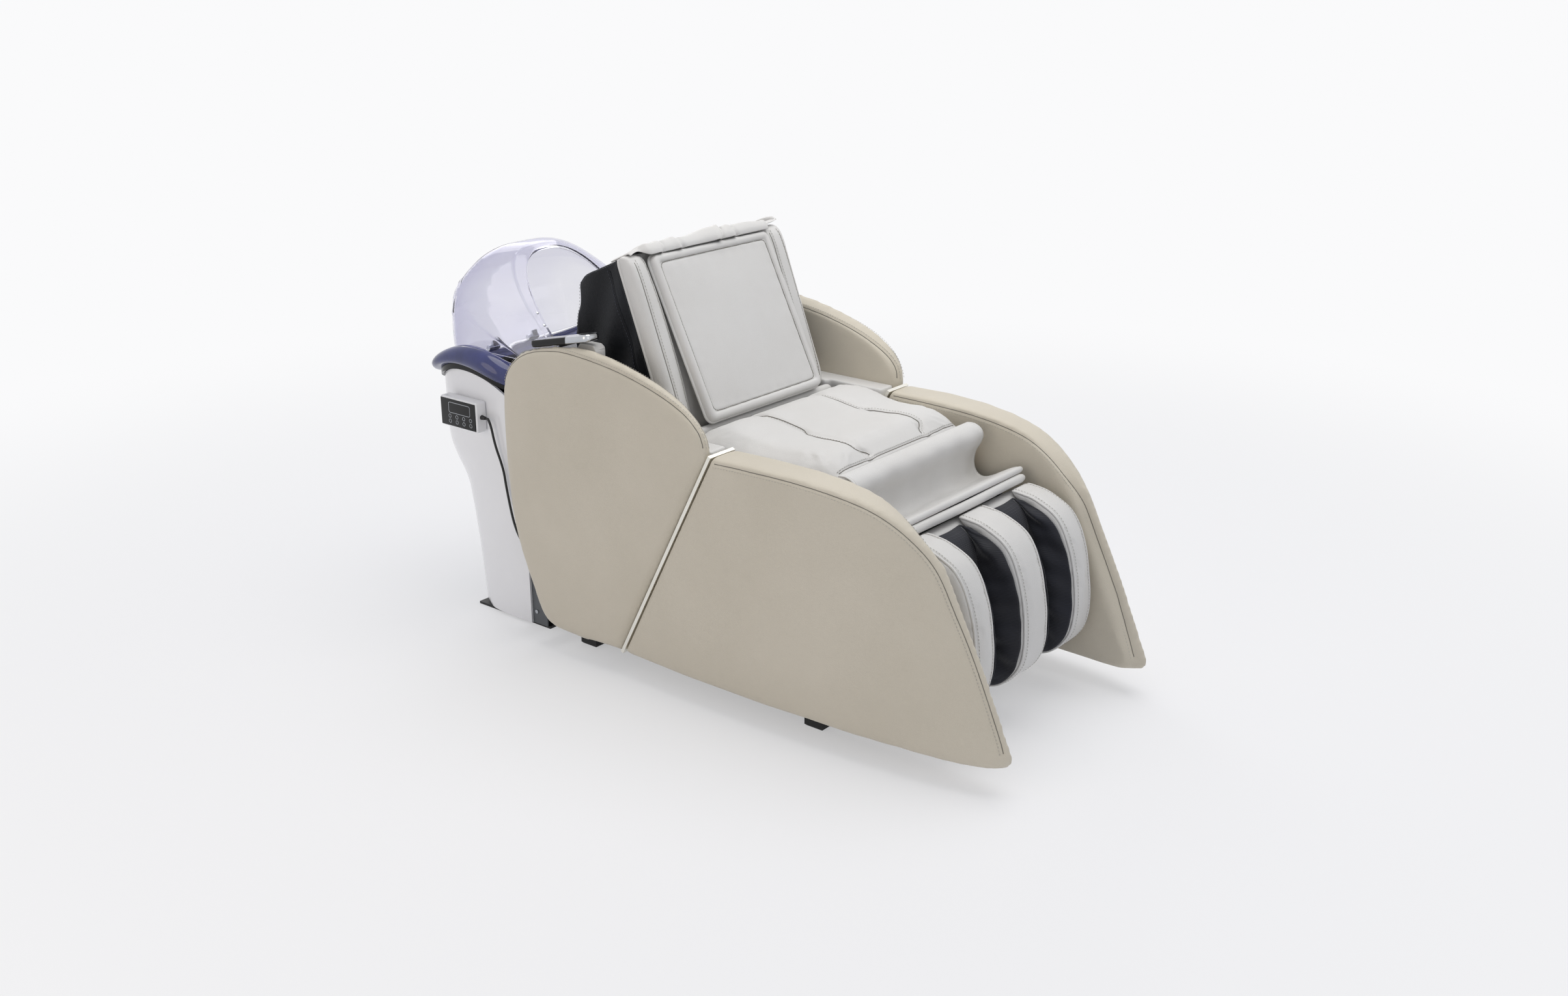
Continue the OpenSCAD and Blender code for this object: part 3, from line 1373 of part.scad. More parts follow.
base_rails();
crossbars();
seat_posts();
seat_rails();
pivot_ears();
feet();
panel_brackets();
seat_board();
seat_cushion();
calf_flap();
arm_panel_left();
arm_panel_right();
leg_panel_left();
leg_panel_right();
seam_strips();
arm_ledges();
pedestal_base();
pedestal_frame();
frame_screws();
pedestal_housing();
trim_band();
basin();
neck_cradle();
drain_fitting();
drain_pipe();
water_tank();
circulation_pump();
hood_hinge();
hood();
hood_knuckles();
control_box();
control_glass();
control_gland();
control_cable();
cable_grommet();
handset_cradle();
handset_body();
handset_glass();
backrest_frame();
backrest_board();
backrest_cushion();
back_pad();
top_flap();
back_gusset();
recline_actuator();
recline_rod();
lift_actuator();
lift_rod();
power_box();
leg_frame();
calf_body();
calf_rib_left();
calf_rib_middle();
calf_rib_right();
calf_lining_left();
calf_lining_right();
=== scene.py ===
# %% [markdown]
# # A head spa bed
# A reclining massage couch with a rinse basin and a clear hood at its head end. The frame, drives and
# plumbing come from the CAD model as they are. Everything soft or glossy is built again here: leather is
# stretched over foam and sewn, acrylic is moulded, and both are judged by how light runs over their curves.

# %% Load the frame
import math

import bmesh
import bpy
import numpy as np
from mathutils import Matrix, Vector
from mathutils.bvhtree import BVHTree
from mathutils.kdtree import KDTree


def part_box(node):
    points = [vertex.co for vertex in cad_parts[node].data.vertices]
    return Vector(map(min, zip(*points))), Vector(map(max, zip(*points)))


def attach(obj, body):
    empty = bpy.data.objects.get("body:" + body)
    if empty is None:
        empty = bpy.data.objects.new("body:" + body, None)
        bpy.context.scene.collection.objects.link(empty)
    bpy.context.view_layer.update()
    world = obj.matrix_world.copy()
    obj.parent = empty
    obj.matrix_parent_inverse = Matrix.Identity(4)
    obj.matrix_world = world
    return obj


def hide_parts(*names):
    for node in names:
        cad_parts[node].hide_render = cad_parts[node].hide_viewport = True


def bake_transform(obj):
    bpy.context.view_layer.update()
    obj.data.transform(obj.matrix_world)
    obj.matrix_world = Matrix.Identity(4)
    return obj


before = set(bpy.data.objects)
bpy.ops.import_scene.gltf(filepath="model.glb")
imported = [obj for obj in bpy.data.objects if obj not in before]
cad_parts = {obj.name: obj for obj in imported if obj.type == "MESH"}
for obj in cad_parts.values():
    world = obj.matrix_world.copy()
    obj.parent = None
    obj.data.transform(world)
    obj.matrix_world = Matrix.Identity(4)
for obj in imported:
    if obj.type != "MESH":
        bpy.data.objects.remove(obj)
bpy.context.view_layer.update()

scene = bpy.context.scene

# %% [markdown]
# ## The camera
# The bed is seen from its right side and its foot end, from above. The camera comes first, because the
# loose cable beside the pedestal has to stay inside its view.

# %% Camera
eye = Vector((-2.808, -2.302, 1.657))
ahead = Vector((0.736, 0.588, -0.3355)).normalized()
across_view = Vector((0.624, -0.781, 0)).normalized()
upwards = across_view.cross(ahead)
camera_data = bpy.data.cameras.new("photo_view")
camera_data.lens = 37.335
camera_data.sensor_width = 36
camera = bpy.data.objects.new("photo_view", camera_data)
turned = Matrix((across_view, upwards, -ahead)).transposed().to_4x4()
turned.translation = eye
camera.matrix_world = turned
scene.collection.objects.link(camera)
scene.camera = camera
scene.view_settings.view_transform = "Standard"
print("camera:", tuple(round(c, 3) for c in eye))

# %% [markdown]
# ## Colours and nodes
# Colours are written as they look on a screen, and Blender wants them linear, so one function turns them.
# One more adds a node with its settings and links. Patterns read Object coordinates in metres, so a grain of
# 3 mm is a scale of 1000 / 3.


# %% Colour and node helpers
def linear(code):
    """Screen colour #RRGGBB as the linear colour that Blender shades with."""
    parts = [int(code[i : i + 2], 16) / 255 for i in (1, 3, 5)]
    return tuple(c / 12.92 if c <= 0.04045 else ((c + 0.055) / 1.055) ** 2.4 for c in parts) + (1.0,)


def put(tree, kind, sockets=None, **settings):
    """Adds one node. Settings are its properties, and sockets its inputs: values, or outputs to link."""
    made = tree.nodes.new(kind)
    for key, value in settings.items():
        setattr(made, key, value)
    for key, value in (sockets or {}).items():
        if isinstance(value, bpy.types.NodeSocket):
            tree.links.new(value, made.inputs[key])
        else:
            made.inputs[key].default_value = value
    return made


print("white is", linear("#FFFFFF")[0], "and mid grey", round(linear("#808080")[0], 3))

# %% [markdown]
# ## What the surfaces are
# Every finish has three scales: a slow drift of tone over a hand's width, the grain or weave itself, and
# the change of gloss that handling leaves. The relief patterns below are the grains this bed shows:
# embossed hide, woven polyester, the fine orange skin of moulded plastic and powder paint, the long
# scratches of brushed or drawn metal, and the rings of a birch veneer.


# %% Relief patterns
wave_turn = 6.28  # a wave texture's scale counts this much for one band


def hide_relief(tree, place, scale):
    """Pebbles of an embossed leather: cells with soft valleys, broken up by a finer noise."""
    warp = put(tree, "ShaderNodeTexNoise",
        {"Vector": place, "Scale": scale * 0.4, "Detail": 2.0}).outputs["Color"]
    moved = put(tree, "ShaderNodeMix", {0: 0.004, 4: place, 5: warp}, data_type="VECTOR").outputs[1]
    cells = put(tree, "ShaderNodeTexVoronoi", {"Vector": moved, "Scale": scale}, feature="DISTANCE_TO_EDGE")
    valley = put(tree, "ShaderNodeMapRange", {0: cells.outputs["Distance"], 1: 0.0, 2: 0.28, 3: 0.0, 4: 1.0},
        interpolation_type="SMOOTHSTEP").outputs[0]
    pores = put(tree, "ShaderNodeTexNoise", {"Vector": place, "Scale": scale * 3.0, "Detail": 3.0}).outputs[0]
    return put(tree, "ShaderNodeMath", {0: pores, 1: 0.35, 2: valley}, operation="MULTIPLY_ADD").outputs[0]


def weave_relief(tree, place, scale):
    """Plain weave: two sets of threads at right angles, each high where the other is low."""
    sets = [put(tree, "ShaderNodeTexWave", {"Vector": place, "Scale": scale / wave_turn, "Distortion": 0.6,
        "Detail": 1.0, "Detail Scale": 2.0}, wave_type="BANDS", bands_direction=way).outputs["Fac"]
        for way in ("DIAGONAL", "Z")]
    return put(tree, "ShaderNodeMath", {0: sets[0], 1: sets[1]}, operation="MULTIPLY").outputs[0]


def skin_relief(tree, place, scale):
    """Fine orange skin of a moulding or of powder paint."""
    return put(tree, "ShaderNodeTexNoise",
        {"Vector": place, "Scale": scale, "Detail": 3.0, "Roughness": 0.55}).outputs[0]


def drawn_relief(tree, place, scale):
    """Long scratches along the piece, as brushing or drawing leaves them."""
    long = put(tree, "ShaderNodeMapping", {"Vector": place, "Scale": (1.0, 0.02, 1.0)}).outputs[0]
    return put(tree, "ShaderNodeTexNoise",
        {"Vector": long, "Scale": scale, "Detail": 4.0, "Roughness": 0.7}).outputs[0]


def veneer_relief(tree, place, scale):
    """Growth rings of a rotary-cut birch veneer, long in Y."""
    long = put(tree, "ShaderNodeMapping", {"Vector": place, "Scale": (1.0, 0.12, 1.0)}).outputs[0]
    return put(tree, "ShaderNodeTexWave", {"Vector": long, "Scale": scale / wave_turn, "Distortion": 7.0,
        "Detail": 3.0, "Detail Scale": 1.4}, wave_type="BANDS", bands_direction="X").outputs["Fac"]


reliefs = {"hide": hide_relief, "weave": weave_relief, "skin": skin_relief, "drawn": drawn_relief,
    "veneer": veneer_relief}
print("relief patterns:", ", ".join(reliefs))


# %% One finish from its real facts
def finish_for(name, light, dark, relief, grain_mm, depth_mm, rough, drift_mm=140, gloss_drift=0.06,
        grain_tone=0.25, **constants):
    """A material: two tones, a relief with its real grain and depth, a roughness, and constant sockets."""
    material = bpy.data.materials.new(name)
    material.use_nodes = True
    tree = material.node_tree
    shader = tree.nodes["Principled BSDF"]
    place = put(tree, "ShaderNodeTexCoord").outputs["Object"]
    height = reliefs[relief](tree, place, 1000 / grain_mm)
    drift = put(tree, "ShaderNodeTexNoise",
        {"Vector": place, "Scale": 1000 / drift_mm, "Detail": 4.0, "Roughness": 0.55}).outputs[0]
    ranged = {0: drift, 1: 0.3, 2: 0.7}  # the noise hardly ever leaves this range
    slow = put(tree, "ShaderNodeMapRange", {**ranged, 3: 0.0, 4: 1.0 - grain_tone}).outputs[0]
    mixed = put(tree, "ShaderNodeMath", {0: height, 1: grain_tone, 2: slow}, operation="MULTIPLY_ADD")
    tone = put(tree, "ShaderNodeMix", {0: mixed.outputs[0], 6: linear(dark), 7: linear(light)},
        data_type="RGBA").outputs[2]
    tree.links.new(tone, shader.inputs["Base Color"])
    gloss = put(tree, "ShaderNodeMapRange", {**ranged, 3: rough - gloss_drift, 4: rough + gloss_drift})
    tree.links.new(gloss.outputs[0], shader.inputs["Roughness"])
    bump = put(tree, "ShaderNodeBump", {"Strength": 0.6, "Distance": depth_mm / 1000, "Height": height})
    tree.links.new(bump.outputs[0], shader.inputs["Normal"])
    for key, value in constants.items():
        shader.inputs[key.replace("_", " ")].default_value = value
    return material


# Embossed polyurethane leather: a knit coated, then pressed with a hide pattern. Satin, warm white.
# Its real pebbles are about 1 mm; they are drawn at 2.6 mm, so that they show at this distance.
pale_leather = finish_for("polyurethane_leather_pale", "#DDDCDA", "#D5D3D0", "hide", 2.6, 0.25, 0.48,
    drift_mm=230, gloss_drift=0.04, grain_tone=0.2, Sheen_Weight=0.08, Sheen_Roughness=0.5)
# The same leather in a sand tone, on the panels' outsides.
side_leather = finish_for("polyurethane_leather_sand", "#D4CCBC", "#CBC3B2", "hide", 2.8, 0.25, 0.5,
    drift_mm=260, gloss_drift=0.03, grain_tone=0.2, Sheen_Weight=0.1, Sheen_Roughness=0.5)
# The same leather in near-black blue, a little glossier, because its folds are stretched.
navy_leather = finish_for("polyurethane_leather_navy", "#171A21", "#0D0F13", "hide", 3.0, 0.4, 0.4,
    grain_tone=0.3, Specular_IOR_Level=0.2)
# Woven polyester over the calf airbags: matt, with a soft nap. Real threads of 0.4 mm are drawn at 2 mm.
navy_fabric = finish_for("woven_polyester_navy", "#151927", "#0B0D16", "weave", 2.0, 0.5, 0.78,
    grain_tone=0.4, Sheen_Weight=0.35, Sheen_Roughness=0.4)
# Folded edge of the leather inside a seam: the same hide, darkened as painted shade for the seam's valley.
painted_seam_shade = finish_for("leather_painted_seam_shade", "#7F7B73", "#6C6860", "hide", 2.6, 0.2, 0.7)
# Bonded nylon thread, twisted: light grey, with a slight shine.
thread = finish_for("bonded_nylon_thread", "#B9B6AF", "#A6A39B", "drawn", 0.6, 0.15, 0.4)
dark_thread = finish_for("bonded_nylon_thread_dark", "#4A4F5C", "#3A3E49", "drawn", 0.6, 0.15, 0.4)
print("soft finishes:", len(bpy.data.materials))

# %% [markdown]
# ## Hard finishes
# Plastics keep an IOR near 1.5 and differ by gloss: polished ABS mirrors the lamps, a textured one doesn't.
# Metals get metallic 1 and keep the default IOR. The acrylic of hood and rim lets light through.

# %% Plastics, metals, acrylic and wood
# ABS, thermoformed and polished white: a soft reflection with very slight waviness.
white_shell = finish_for("abs_gloss_white", "#F8F8FA", "#F4F4F6", "skin", 14.0, 0.05, 0.2, gloss_drift=0.03,
    Coat_Weight=0.35, Coat_Roughness=0.08)
# ABS, moulded in a mirror-polished tool, black.
black_gloss = finish_for("abs_gloss_black", "#0E0E10", "#070708", "skin", 12.0, 0.04, 0.16, gloss_drift=0.03,
    Specular_IOR_Level=0.25, Coat_Weight=0.1, Coat_Roughness=0.05)
# Tempered glass, back-printed black.
black_glass = finish_for("tempered_glass_black", "#0A0A0C", "#060608", "skin", 30.0, 0.01, 0.06,
    gloss_drift=0.02, IOR=1.52, Specular_IOR_Level=0.3, Coat_Weight=0.1, Coat_Roughness=0.03)
# Tinted acrylic, vacuum-formed: navy in its depth, with light carried to its thin ridges.
navy_acrylic = finish_for("acrylic_tinted_navy", "#3A4284", "#262D60", "skin", 20.0, 0.05, 0.1,
    drift_mm=60, gloss_drift=0.03, IOR=1.49, Transmission_Weight=0.15, Coat_Weight=0.3, Coat_Roughness=0.04)
# Clear acrylic with a faint lavender tint, blown into a dome: clean gloss, slightly hazy from its thickness.
clear_acrylic = finish_for("acrylic_clear_lavender", "#F4F4F7", "#EEEEF4", "skin", 40.0, 0.04, 0.05,
    drift_mm=90, gloss_drift=0.02, IOR=1.15, Transmission_Weight=0.96, Coat_Weight=0.5, Coat_Roughness=0.03)
# Looked along its wall, the sheet gathers its tint, so the edges of the dome are lavender.
tree = clear_acrylic.node_tree
shader = tree.nodes["Principled BSDF"]
clear_tone = shader.inputs["Base Color"].links[0].from_socket
edge_on = put(tree, "ShaderNodeLayerWeight", {"Blend": 0.35}).outputs["Facing"]
tinted = put(tree, "ShaderNodeMix", {0: edge_on, 6: clear_tone, 7: linear("#C4C2E2")},
    data_type="RGBA").outputs[2]
tree.links.new(tinted, shader.inputs["Base Color"])
# Steel tube under grey powder paint.
frame_steel = finish_for("powder_coated_steel", "#5F6266", "#54575B", "skin", 1.6, 0.08, 0.5)
black_base = finish_for("powder_coated_sheet_black", "#1A1A1C", "#121214", "skin", 1.8, 0.08, 0.55)
black_rubber = finish_for("rubber_foot_black", "#1B1B1C", "#131314", "skin", 1.2, 0.1, 0.7)
plywood = finish_for("birch_plywood", "#C9A270", "#B48A58", "veneer", 9.0, 0.12, 0.6, grain_tone=0.6)
# Aluminium strip, brushed and anodised in a champagne white.
seam_aluminium = finish_for("anodised_aluminium_champagne", "#EFEDE6", "#DEDBD1", "drawn", 0.8, 0.03, 0.3,
    Metallic=0.85)
zinc_screw = finish_for("zinc_plated_steel", "#B9BCC0", "#9FA2A6", "skin", 1.0, 0.04, 0.34, Metallic=1.0)
chrome = finish_for("polished_chrome", "#D5D7DA", "#C6C9CD", "skin", 25.0, 0.01, 0.1, gloss_drift=0.03,
    Metallic=1.0)
handset_chrome = finish_for("chromed_abs", "#C9CBCF", "#B2B5BA", "skin", 18.0, 0.02, 0.16, gloss_drift=0.04,
    Metallic=1.0)
rod_steel = finish_for("ground_steel_rod", "#A9ACB0", "#989BA0", "drawn", 0.8, 0.03, 0.28, Metallic=1.0)
grey_pipe = finish_for("pvc_pipe_grey", "#8D9093", "#808386", "skin", 2.5, 0.05, 0.42)
tank_plastic = finish_for("polyethylene_tank", "#DDE1DE", "#CFD4D1", "skin", 3.0, 0.08, 0.45,
    Transmission_Weight=0.12)
pump_blue = finish_for("painted_cast_iron_blue", "#2F5C8E", "#264C78", "skin", 2.0, 0.15, 0.42)
black_gland = finish_for("nylon_gland_black", "#19191A", "#111112", "skin", 1.5, 0.06, 0.5)
cable_rubber = finish_for("pvc_cable_sheath", "#18181A", "#101012", "skin", 1.5, 0.06, 0.45)
drive_black = finish_for("moulded_nylon_black", "#202123", "#18191B", "skin", 1.6, 0.1, 0.55)
power_case = finish_for("abs_textured_black", "#232427", "#1B1C1F", "skin", 1.4, 0.12, 0.58)
# Silk-screen ink behind the glass, pale grey.
glass_print = finish_for("silkscreen_ink_grey", "#C2C6CC", "#B0B4BB", "skin", 3.0, 0.02, 0.5)
print("finishes in all:", len(bpy.data.materials))

# %% Finishes on the CAD pieces that stay
kept = {
    frame_steel: ("base_rails", "crossbars", "seat_posts", "seat_rails", "pivot_ears", "panel_brackets",
        "pedestal_frame", "backrest_frame", "leg_frame"),
    black_rubber: ("feet",), plywood: ("seat_board", "backrest_board"), seam_aluminium: ("seam_strips",),
    black_base: ("pedestal_base",), zinc_screw: ("frame_screws",), black_gloss: ("neck_cradle",),
    chrome: ("drain_fitting", "hood_hinge", "hood_knuckles"), grey_pipe: ("drain_pipe",),
    tank_plastic: ("water_tank",), pump_blue: ("circulation_pump",),
    black_gland: ("control_gland", "cable_grommet"), drive_black: ("recline_actuator", "lift_actuator"),
    rod_steel: ("recline_rod", "lift_rod"), power_case: ("power_box",)}
for material, nodes in kept.items():
    for node in nodes:
        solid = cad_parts[node]
        for row in solid.material_slots:
            row.material = material
        if not solid.material_slots:
            solid.data.materials.append(material)
print("CAD pieces with a finish:", sum(len(n) for n in kept.values()))

# %% [markdown]
# ## The studio
# A pale floor that runs into white, a large soft lamp overhead, a warm one from the near side, weak ones
# from the front and the rear, and a pale world. The camera sees white behind the bed without more light on
# it, and the floor keeps the shadow close to the bed.


# %% Floor, world and lamps
def seen_by_eye(tree):
    """1 for rays from the camera and for mirrored or refracted ones, else 0."""
    path = put(tree, "ShaderNodeLightPath")
    either = put(tree, "ShaderNodeMath", {0: path.outputs["Is Camera Ray"], 1: path.outputs["Is Glossy Ray"]},
        operation="MAXIMUM").outputs[0]
    return put(tree, "ShaderNodeMath", {0: either, 1: path.outputs["Is Transmission Ray"]},
        operation="MAXIMUM").outputs[0]


world = bpy.data.worlds.new("studio")
scene.world = world
world.use_nodes = True
sky = world.node_tree
sky.nodes.clear()
fill = put(sky, "ShaderNodeBackground", {"Color": linear("#E9EDF5"), "Strength": 0.5})
white = put(sky, "ShaderNodeBackground", {"Color": linear("#FAFAFB"), "Strength": 1.0})
shown = put(sky, "ShaderNodeMixShader", {0: seen_by_eye(sky), 1: fill.outputs[0], 2: white.outputs[0]})
put(sky, "ShaderNodeOutputWorld", {0: shown.outputs[0]})

floor_half = 14
floor_mesh = bpy.data.meshes.new("floor")
floor_mesh.from_pydata([(floor_half * x, floor_half * y, 0) for x, y in ((-1, -1), (1, -1), (1, 1), (-1, 1))],
    [], [(0, 1, 2, 3)])
floor = bpy.data.objects.new("floor", floor_mesh)
scene.collection.objects.link(floor)
floor_paint = bpy.data.materials.new("studio_floor_paint")
floor_paint.use_nodes = True
paint = floor_paint.node_tree
matt = paint.nodes["Principled BSDF"]
matt.inputs["Base Color"].default_value = linear("#F4F4F6")
matt.inputs["Roughness"].default_value = 0.85
# To the eye the floor glows as the world does: 42 % within 0.7 m of the bed's middle, all of it from 3.6 m.
glow = put(paint, "ShaderNodeEmission", {"Color": linear("#FAFAFB"), "Strength": 1.0})
spot = put(paint, "ShaderNodeNewGeometry").outputs["Position"]
away = put(paint, "ShaderNodeVectorMath", {0: spot}, operation="LENGTH").outputs["Value"]
faded = put(paint, "ShaderNodeMapRange", {0: away, 1: 0.7, 2: 3.6, 3: 0.42, 4: 1.0},
    interpolation_type="SMOOTHSTEP").outputs[0]
part = put(paint, "ShaderNodeMath", {0: seen_by_eye(paint), 1: faded}, operation="MULTIPLY").outputs[0]
both = put(paint, "ShaderNodeMixShader", {0: part, 1: matt.outputs[0], 2: glow.outputs[0]})
paint.links.new(both.outputs[0], paint.nodes["Material Output"].inputs[0])
floor_mesh.materials.append(floor_paint)

lamps = {"overhead": ((0.5, -0.3, 3.4), (0, 0, 0.3), 3.4, 62, "#FFFDFA"),
    "near": ((-3.6, 0.7, 1.7), (0, 0.1, 0.4), 2.6, 18, "#FFF0DC"),
    "front": ((-1.2, -3.8, 2.0), (0, 0, 0.4), 2.6, 8, "#FFFDFA"),
    "rear": ((1.8, 3.0, 2.6), (0, 0.3, 0.5), 2.2, 18, "#FFFDFA")}
for name, (at, to, size, power, tint) in lamps.items():
    data = bpy.data.lights.new(name, "AREA")
    data.shape, data.size, data.energy = "DISK", size, power
    data.color = linear(tint)[:3]
    lamp = bpy.data.objects.new(name, data)
    lamp.matrix_world = (Matrix.Translation(at)
        @ (Vector(to) - Vector(at)).to_track_quat("-Z", "Y").to_matrix().to_4x4())
    scene.collection.objects.link(lamp)
print("lamps:", len(lamps))

# %% [markdown]
# ## Making meshes
# Measures are written in millimetres from the top of the seam between arm and leg panel, as in the source,
# and one function moves them into the bed's frame in metres. A shape that follows a rule is lofted from
# rows of points. Most of the soft pieces start from their CAD solid.


# %% Points, curves and lofts
seam_top_y = 0.150  # the seam's top lies this far towards the foot from the bed's middle, in metres


def in_bed(points, side=1):
    """Millimetres from the seam's top, as metres in the bed's frame; side -1 mirrors them to the right."""
    return np.asarray(points, float) / 1000 * np.array([side, 1, 1]) - np.array([0, seam_top_y, 0])


def through(a, b, c, d, t):
    """Smoothly from b to c as t goes from 0 to 1; a and d are their neighbours."""
    return 0.5 * (2 * b + (c - a) * t + (2 * a - 5 * b + 4 * c - d) * t**2 + (3 * b - a - 3 * c + d) * t**3)


def curve(points, steps):
    """Smooth open curve through the points, with that many steps to each stretch."""
    p = np.asarray(points, float)
    p = np.vstack([p[:1], p, p[-1:]])
    t = (np.arange(steps) / steps)[:, None]
    parts = [through(*four, t) for four in zip(p[:-3], p[1:-2], p[2:-1], p[3:])]
    return np.vstack(parts + [p[-2:-1]])


def height_at(pairs, at):
    """Height of the smooth curve of (place, height) pairs at a place."""
    i = max([0] + [k for k in range(len(pairs) - 1) if pairs[k][0] <= at])
    t = min(1, max(0, (at - pairs[i][0]) / (pairs[i + 1][0] - pairs[i][0])))
    return through(*[pairs[min(len(pairs) - 1, max(0, i + k))][1] for k in (-1, 0, 1, 2)], t)


def length_along(line):
    """How far along the line each of its points is."""
    return np.concatenate([[0], np.cumsum(np.linalg.norm(np.diff(line, axis=0), axis=1))])


def spaced(line, count):
    """The same line as that many points at equal distances."""
    far = length_along(line)
    steps = np.linspace(0, far[-1], count)
    return np.column_stack([np.interp(steps, far, axis) for axis in line.T])


def even(points, gap, closed=False):
    """The same line with its points that far apart."""
    p = np.asarray(points, float)
    if closed:
        p = np.vstack([p, p[:1]])
    line = spaced(p, max(3, int(length_along(p)[-1] / gap)))
    return line[:-1] if closed else line


def directions(line, closed=False):
    """The line's direction at each of its points, of length 1."""
    ahead = np.roll(line, -1, 0) - np.roll(line, 1, 0) if closed else np.gradient(line, axis=0)
    return ahead / np.maximum(np.linalg.norm(ahead, axis=1), 1e-12)[:, None]


def aside(line, by):
    """A line in a plane, moved to its left. Of a line in space, x stays and (y, z) is the plane."""
    ahead = directions(line[:, -2:])
    return np.column_stack([line[:, :-2], line[:, -2:] + by * np.column_stack([-ahead[:, 1], ahead[:, 0]])])


def own_name(name):
    """A piece that stands for a CAD piece can't have its name, so it is called dressed."""
    return name + "_dressed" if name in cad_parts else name


def shape(name, points, faces, *materials, sharp=None):
    """A mesh object from points in metres: doubles merged, faces turned outwards, shaded smooth."""
    name = own_name(name)
    mesh = bpy.data.meshes.new(name)
    mesh.from_pydata([tuple(p) for p in points], [], faces)
    form = bmesh.new()
    form.from_mesh(mesh)
    bmesh.ops.remove_doubles(form, verts=form.verts, dist=1e-6)
    bmesh.ops.recalc_face_normals(form, faces=form.faces)
    form.to_mesh(mesh)
    form.free()
    mesh.shade_smooth()
    if sharp:
        mesh.set_sharp_from_angle(angle=math.radians(sharp))
    for material in materials:
        mesh.materials.append(material)
    obj = bpy.data.objects.new(name, mesh)
    scene.collection.objects.link(obj)
    return obj


def loft(name, rows, *materials, ring=False, joined=False, folded=False, poles=False, sharp=None):
    """A skin through rows of points. ring closes each row, joined closes the rows, folded caps both ends of
    a wall that goes out and back, and poles closes them with a fan."""
    rows = np.asarray(rows, float)
    m, n = rows.shape[:2]
    points = rows.reshape(-1, 3)
    faces = [(j * n + i, j * n + (i + 1) % n, (j + 1) % m * n + (i + 1) % n, (j + 1) % m * n + i)
        for j in range(m if joined else m - 1) for i in range(n if ring else n - 1)]
    for start in ((0, (m - 1) * n) if folded else ()):
        faces += [(start + i, start + i + 1, start + n - 2 - i, start + n - 1 - i) for i in range(n // 2 - 1)]
    if poles:
        points = np.vstack([points, rows[0].mean(0), rows[-1].mean(0)])
        faces += [(i, (i + 1) % n, m * n) for i in range(n)]
        faces += [((m - 1) * n + i, (m - 1) * n + (i + 1) % n, m * n + 1) for i in range(n)]
    return shape(name, points, faces, *materials, sharp=sharp)


def tube(name, path, radius, *materials, closed=False, sides=10, taper=0):
    """A round tube along a path, its rings carried along without twist, its ends rounded off."""
    p = np.asarray(path, float)
    ahead = directions(p, closed)
    side = np.cross(ahead[0], [0.31, 0.17, 0.93])  # no path starts out in this direction
    rings = []
    turns = np.arange(sides) * 2 * math.pi / sides
    for k, (at, d) in enumerate(zip(p, ahead)):
        side = side - side.dot(d) * d
        side /= np.linalg.norm(side)
        other = np.cross(d, side)
        r = radius
        if taper and not closed:
            end = min(k, len(p) - 1 - k) / taper
            r *= math.sqrt(max(0.05, 1 - (1 - min(1, end)) ** 2))
        rings.append([at + r * (math.cos(a) * side + math.sin(a) * other) for a in turns])
    return loft(name, rings, *materials, ring=True, joined=closed, poles=not closed)


def place(piece, body, slot, *replaces, fill=None):
    """Lets a finished piece ride on its body, and hides the CAD nodes it stands for. Its slot is not used,
    and neither is a fill."""
    if body:
        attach(piece, body)
    if replaces:
        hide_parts(*replaces)
    return piece


print("a curve of 3 points and 4 steps has", len(curve([[0, 0, 0], [1, 0, 0], [2, 1, 0]], 4)), "points")

# %% [markdown]
# ## The control cable
# A 6 mm sheathed lead leaves a gland on the control box, hangs down beside the pedestal and goes in behind
# the arm panel through a grommet. It is seen from end to end, so its length is the length of its route.

# %% Control cable
cable_route = [[-316, 761, 520], [-316, 757, 520], [-316, 753, 519], [-315, 748, 508], [-314, 744, 492],
    [-313, 740, 470], [-312, 733, 445], [-310, 724, 418], [-308, 717, 390], [-308, 712, 360],
    [-309, 705, 330], [-311, 696, 300], [-314, 684, 270], [-317, 668, 244], [-319, 650, 226],
    [-318, 634, 214], [-312, 622, 206], [-306, 616, 201], [-301, 616, 201], [-296, 616, 201]]
cable_line = in_bed(curve(cable_route, 3))
control_cable = tube("control_cable", cable_line, 0.003, cable_rubber, sides=12)
place(control_cable, "base", "cable_rubber", "control_cable")

# %% [markdown]
# ## Padding
# A cushion is foam in a sewn cover, and it bulges wherever nothing holds it. Each one starts as a copy of
# its CAD solid, is remeshed into even squares and smoothed. Then Blender's cloth blows it up for a few
# frames while its base is held, or a rule gives it a crown. The movement is capped, so that it stays in its
# place. Seams come after that, because remeshing would remove them.


# %% Even, relaxed and inflated forms
def applied(obj):
    """Turns what the modifiers make into the object's own mesh."""
    graph = bpy.context.evaluated_depsgraph_get()
    mesh = bpy.data.meshes.new_from_object(obj.evaluated_get(graph))
    obj.modifiers.clear()
    obj.data = mesh
    return obj


def modified(obj, kind, **settings):
    """Gives the object one modifier and applies it."""
    modifier = obj.modifiers.new(kind, kind)
    for key, value in settings.items():
        setattr(modifier, key, value)
    return applied(obj)


def thickened(obj, thickness):
    """Gives a skin its thickness in metres, half to each side."""
    modified(obj, "SOLIDIFY", thickness=thickness, offset=0)
    obj.data.shade_smooth()
    return obj


def points_of(mesh):
    """A mesh's points as rows."""
    co = np.zeros(len(mesh.vertices) * 3)
    mesh.vertices.foreach_get("co", co)
    return co.reshape(-1, 3)


def normals_of(mesh):
    """The directions out of a mesh at its points, as rows."""
    out = np.zeros(len(mesh.vertices) * 3)
    mesh.vertices.foreach_get("normal", out)
    return out.reshape(-1, 3)


